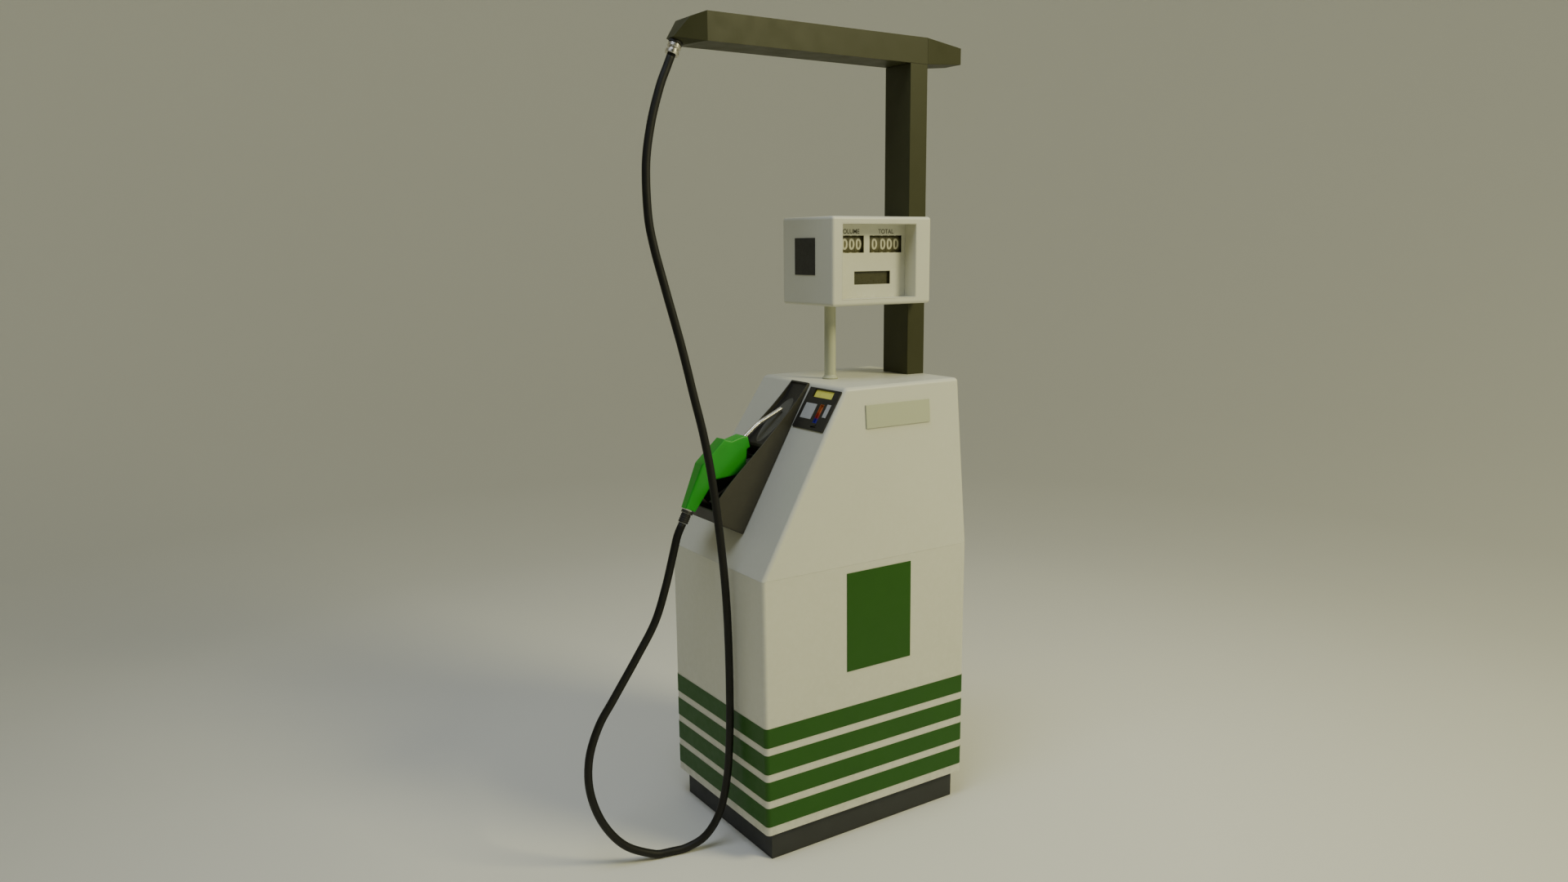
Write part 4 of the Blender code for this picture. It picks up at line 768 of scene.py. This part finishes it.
def make_label(name, body, x, z, width, height):
    """Printed lettering on the dial plate."""
    shape, _ = text_shape(body, width, height, 0.0002, 0.012)
    matrix = Matrix.Translation((x, DIAL_FRONT + GAP - 0.0001, z)) @ Matrix.Rotation(math.pi / 2, 4, "X")
    label = piece(name, shape, "label_ink", matrix=matrix)
    label.data.set_sharp_from_angle(angle=math.radians(35))
    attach(label, "root")


def make_head():
    """The display head with its number wheels, labels and pole."""
    refined("head_shell", 0.0008)
    refined("screen_surround", 0.0004, 1)
    refined("dial_plate", 0.0003, 1)
    refined("price_display", 0.0003, 1)
    refined("head_back_cover", 0.0005)
    refined("speaker_panel", 0.0004)
    frame_skin = refined("register_frame", 0.0003, 1)
    frame_skin.data.materials.append(MATERIALS["wheel_dark"])
    for face in frame_skin.data.polygons:  # the spacers' rims are as dark as the wheels beside them
        away = math.hypot(face.center.y - WHEEL_Y, face.center.z - WHEEL_Z)
        face.material_index = int(SPACER_RADIUS - 0.0015 < away < SPACER_RADIUS + 0.0005)
    digits = digit_meshes()
    for group, places in (("volume", VOLUME_WHEELS_X), ("total", TOTAL_WHEELS_X)):
        for i, x in enumerate(reversed(places)):
            make_wheel(f"{group}_wheel_{i + 1}", x, digits)
    make_label("volume_label", "VOLUME", 0.0582, 1.8226, 0.074, 0.0142)
    make_label("total_label", "TOTAL", 0.1970, 1.8226, 0.060, 0.0142)

    low, high, bore = ROOF + GAP, HEAD_BOTTOM - GAP, POLE_RADIUS - 0.0026
    flare = [
        (POLE_RADIUS + 0.0069 * (1 - t) ** 2.2, low + 0.0035 + 0.0105 * t) for t in (1.0, 0.8, 0.6, 0.4, 0.2, 0.0)
    ]
    lathe("display_pole_skin", "display_pole",
          ((bore, low), (bore, high), (POLE_RADIUS, high), *flare, (POLE_RADIUS + 0.0069, low)),
          Matrix.Translation((POLE_X, 0.0, 0.0)), round_by=0.0)
    refined("register_shaft", 0.0002, 1)


# Works inside -----------------------------------------------------------------------------------


def make_works():
    """The pump, motor, meter and pipes inside the cabinet."""
    for node in PAINTED_WORKS:
        refined(node, 0.0012, 2, "works_paint")
    for node in ("suction_pipe", "feed_pipe", "delivery_pipe", "junction_box", "pump_pulley", "motor_pulley"):
        refined(node, 0.0005)
    refined("drive_belt", 0.0006)


# Nozzle -----------------------------------------------------------------------------------------


def make_spout():
    """The bent spout, with turned rings on its straight lower half and an open end."""
    line = smooth_line(((0.2772, 0, -0.0028), (0.300, 0, -0.0055), (0.330, 0, -0.0100), (0.352, 0, -0.0165),
                        (0.380, 0, -0.0275), (0.4224, 0, -0.0432)), 0.0009)
    outer, bore, ridge, pitch = 0.0073, 0.0060, 0.0003, 0.0040
    rings, travelled, last = [], 0.0, line[0]
    for point, ahead in along_line(line):
        travelled += (point - last).length
        last = point
        radius = outer
        if 0.006 < travelled < 0.062 and (travelled / pitch) % 1.0 < 0.5:
            radius += ridge
        rings.append((point, ahead, radius))
    tip, ahead = line[-1], (line[-1] - line[-2]).normalized()
    rings[-1] = (tip - ahead * 0.0004, ahead, outer)
    rings.append((tip, ahead, outer - 0.0004))
    rings.append((tip, ahead, bore))
    rings.append((tip - ahead * 0.022, ahead, bore))
    shape = bmesh.new()
    sweep(shape, rings, 32)
    spout = piece("nozzle_spout_skin", shape, "bright_metal", "nozzle_spout", NOZZLE)
    spout.data.set_sharp_from_angle(angle=math.radians(40))


def make_nozzle():
    """The nozzle with its trigger, spout, swivel and the hose's ribbed ferrule."""
    refined("nozzle_cover", 0.0012, 2)
    refined("nozzle_body", 0.0006, 1)
    refined("trigger_guard", 0.0006)
    refined("trigger_lever", 0.0008)
    refined("hold_open_catch", 0.0002, 1)
    make_spout()
    lathe("nozzle_swivel_skin", "nozzle_swivel",
          ((0.0085, 0.0015), (0.0085, 0.0115), (0.0165, 0.0115), (0.0178, 0.0100), (0.0178, 0.0030),
           (0.0165, 0.0015)), INLET_FRAME, "dark_steel")
    ribs = [(0.0085, 0.0118), (0.0085, 0.0405), (0.0135, 0.0405)]
    for i in range(4):
        z = 0.0375 - i * 0.0062
        ribs += [(0.0150, z), (0.0150, z - 0.0030), (0.0138, z - 0.0042)]
    ribs.append((0.0138, 0.0118))
    lathe("hose_ferrule_skin", "hose_ferrule", ribs, INLET_FRAME, round_by=0.0003)


# Stage and light --------------------------------------------------------------------------------


def make_stage():
    """A pale floor that curves up into a wall all round, open above."""
    floor, curve, top = 3.2, 3.6, 8.0
    profile = [(0.6, 0.0), (1.6, 0.0), (floor, 0.0)]
    profile += [
        (floor + curve * math.sin(math.radians(a)), curve * (1 - math.cos(math.radians(a)))) for a in range(6, 91, 6)
    ]
    profile.append((floor + curve, top))
    shape = bmesh.new()
    rings = [add_ring(shape, Matrix.Translation((0, 0, z)), radius, 96) for radius, z in profile]
    shape.faces.new(rings[0])
    skin_rings(shape, rings, caps=False)
    stage = piece("floor_and_wall", shape, "stage_grey")
    stage.data.flip_normals()


def area_light(name, place, aim, size, power, colour):
    data = bpy.data.lights.new(name, "AREA")
    data.shape = "DISK"
    data.size = size
    data.energy = power
    data.color = colour
    lamp = bpy.data.objects.new(name, data)
    bpy.context.scene.collection.objects.link(lamp)
    lamp.location = place
    lamp.rotation_euler = (Vector(aim) - Vector(place)).to_track_quat("-Z", "Y").to_euler()
    lamp.visible_camera = False


def make_lights():
    """An even sky, a warm key from the right of the camera and a cool fill above the left."""
    world = bpy.data.worlds.new("studio")
    world.use_nodes = True
    world.node_tree.nodes["Background"].inputs["Color"].default_value = (0.95, 0.96, 0.88, 1.0)
    world.node_tree.nodes["Background"].inputs["Strength"].default_value = 0.290
    bpy.context.scene.world = world
    area_light("key", (2.6, -4.2, 4.8), (0.0, 0.0, 0.9), 2.0, 226.0, (0.985, 0.94, 0.55))
    area_light("fill", (-1.9, -1.0, 6.2), (-0.3, 0.0, 0.6), 3.0, 114.0, (0.73, 0.81, 1.0))


make_camera()
make_hose()
make_stage()
make_lights()
make_cabinet()
make_boot_and_panel()
make_mast()
make_head()
make_works()
make_nozzle()

bpy.context.view_layer.update()
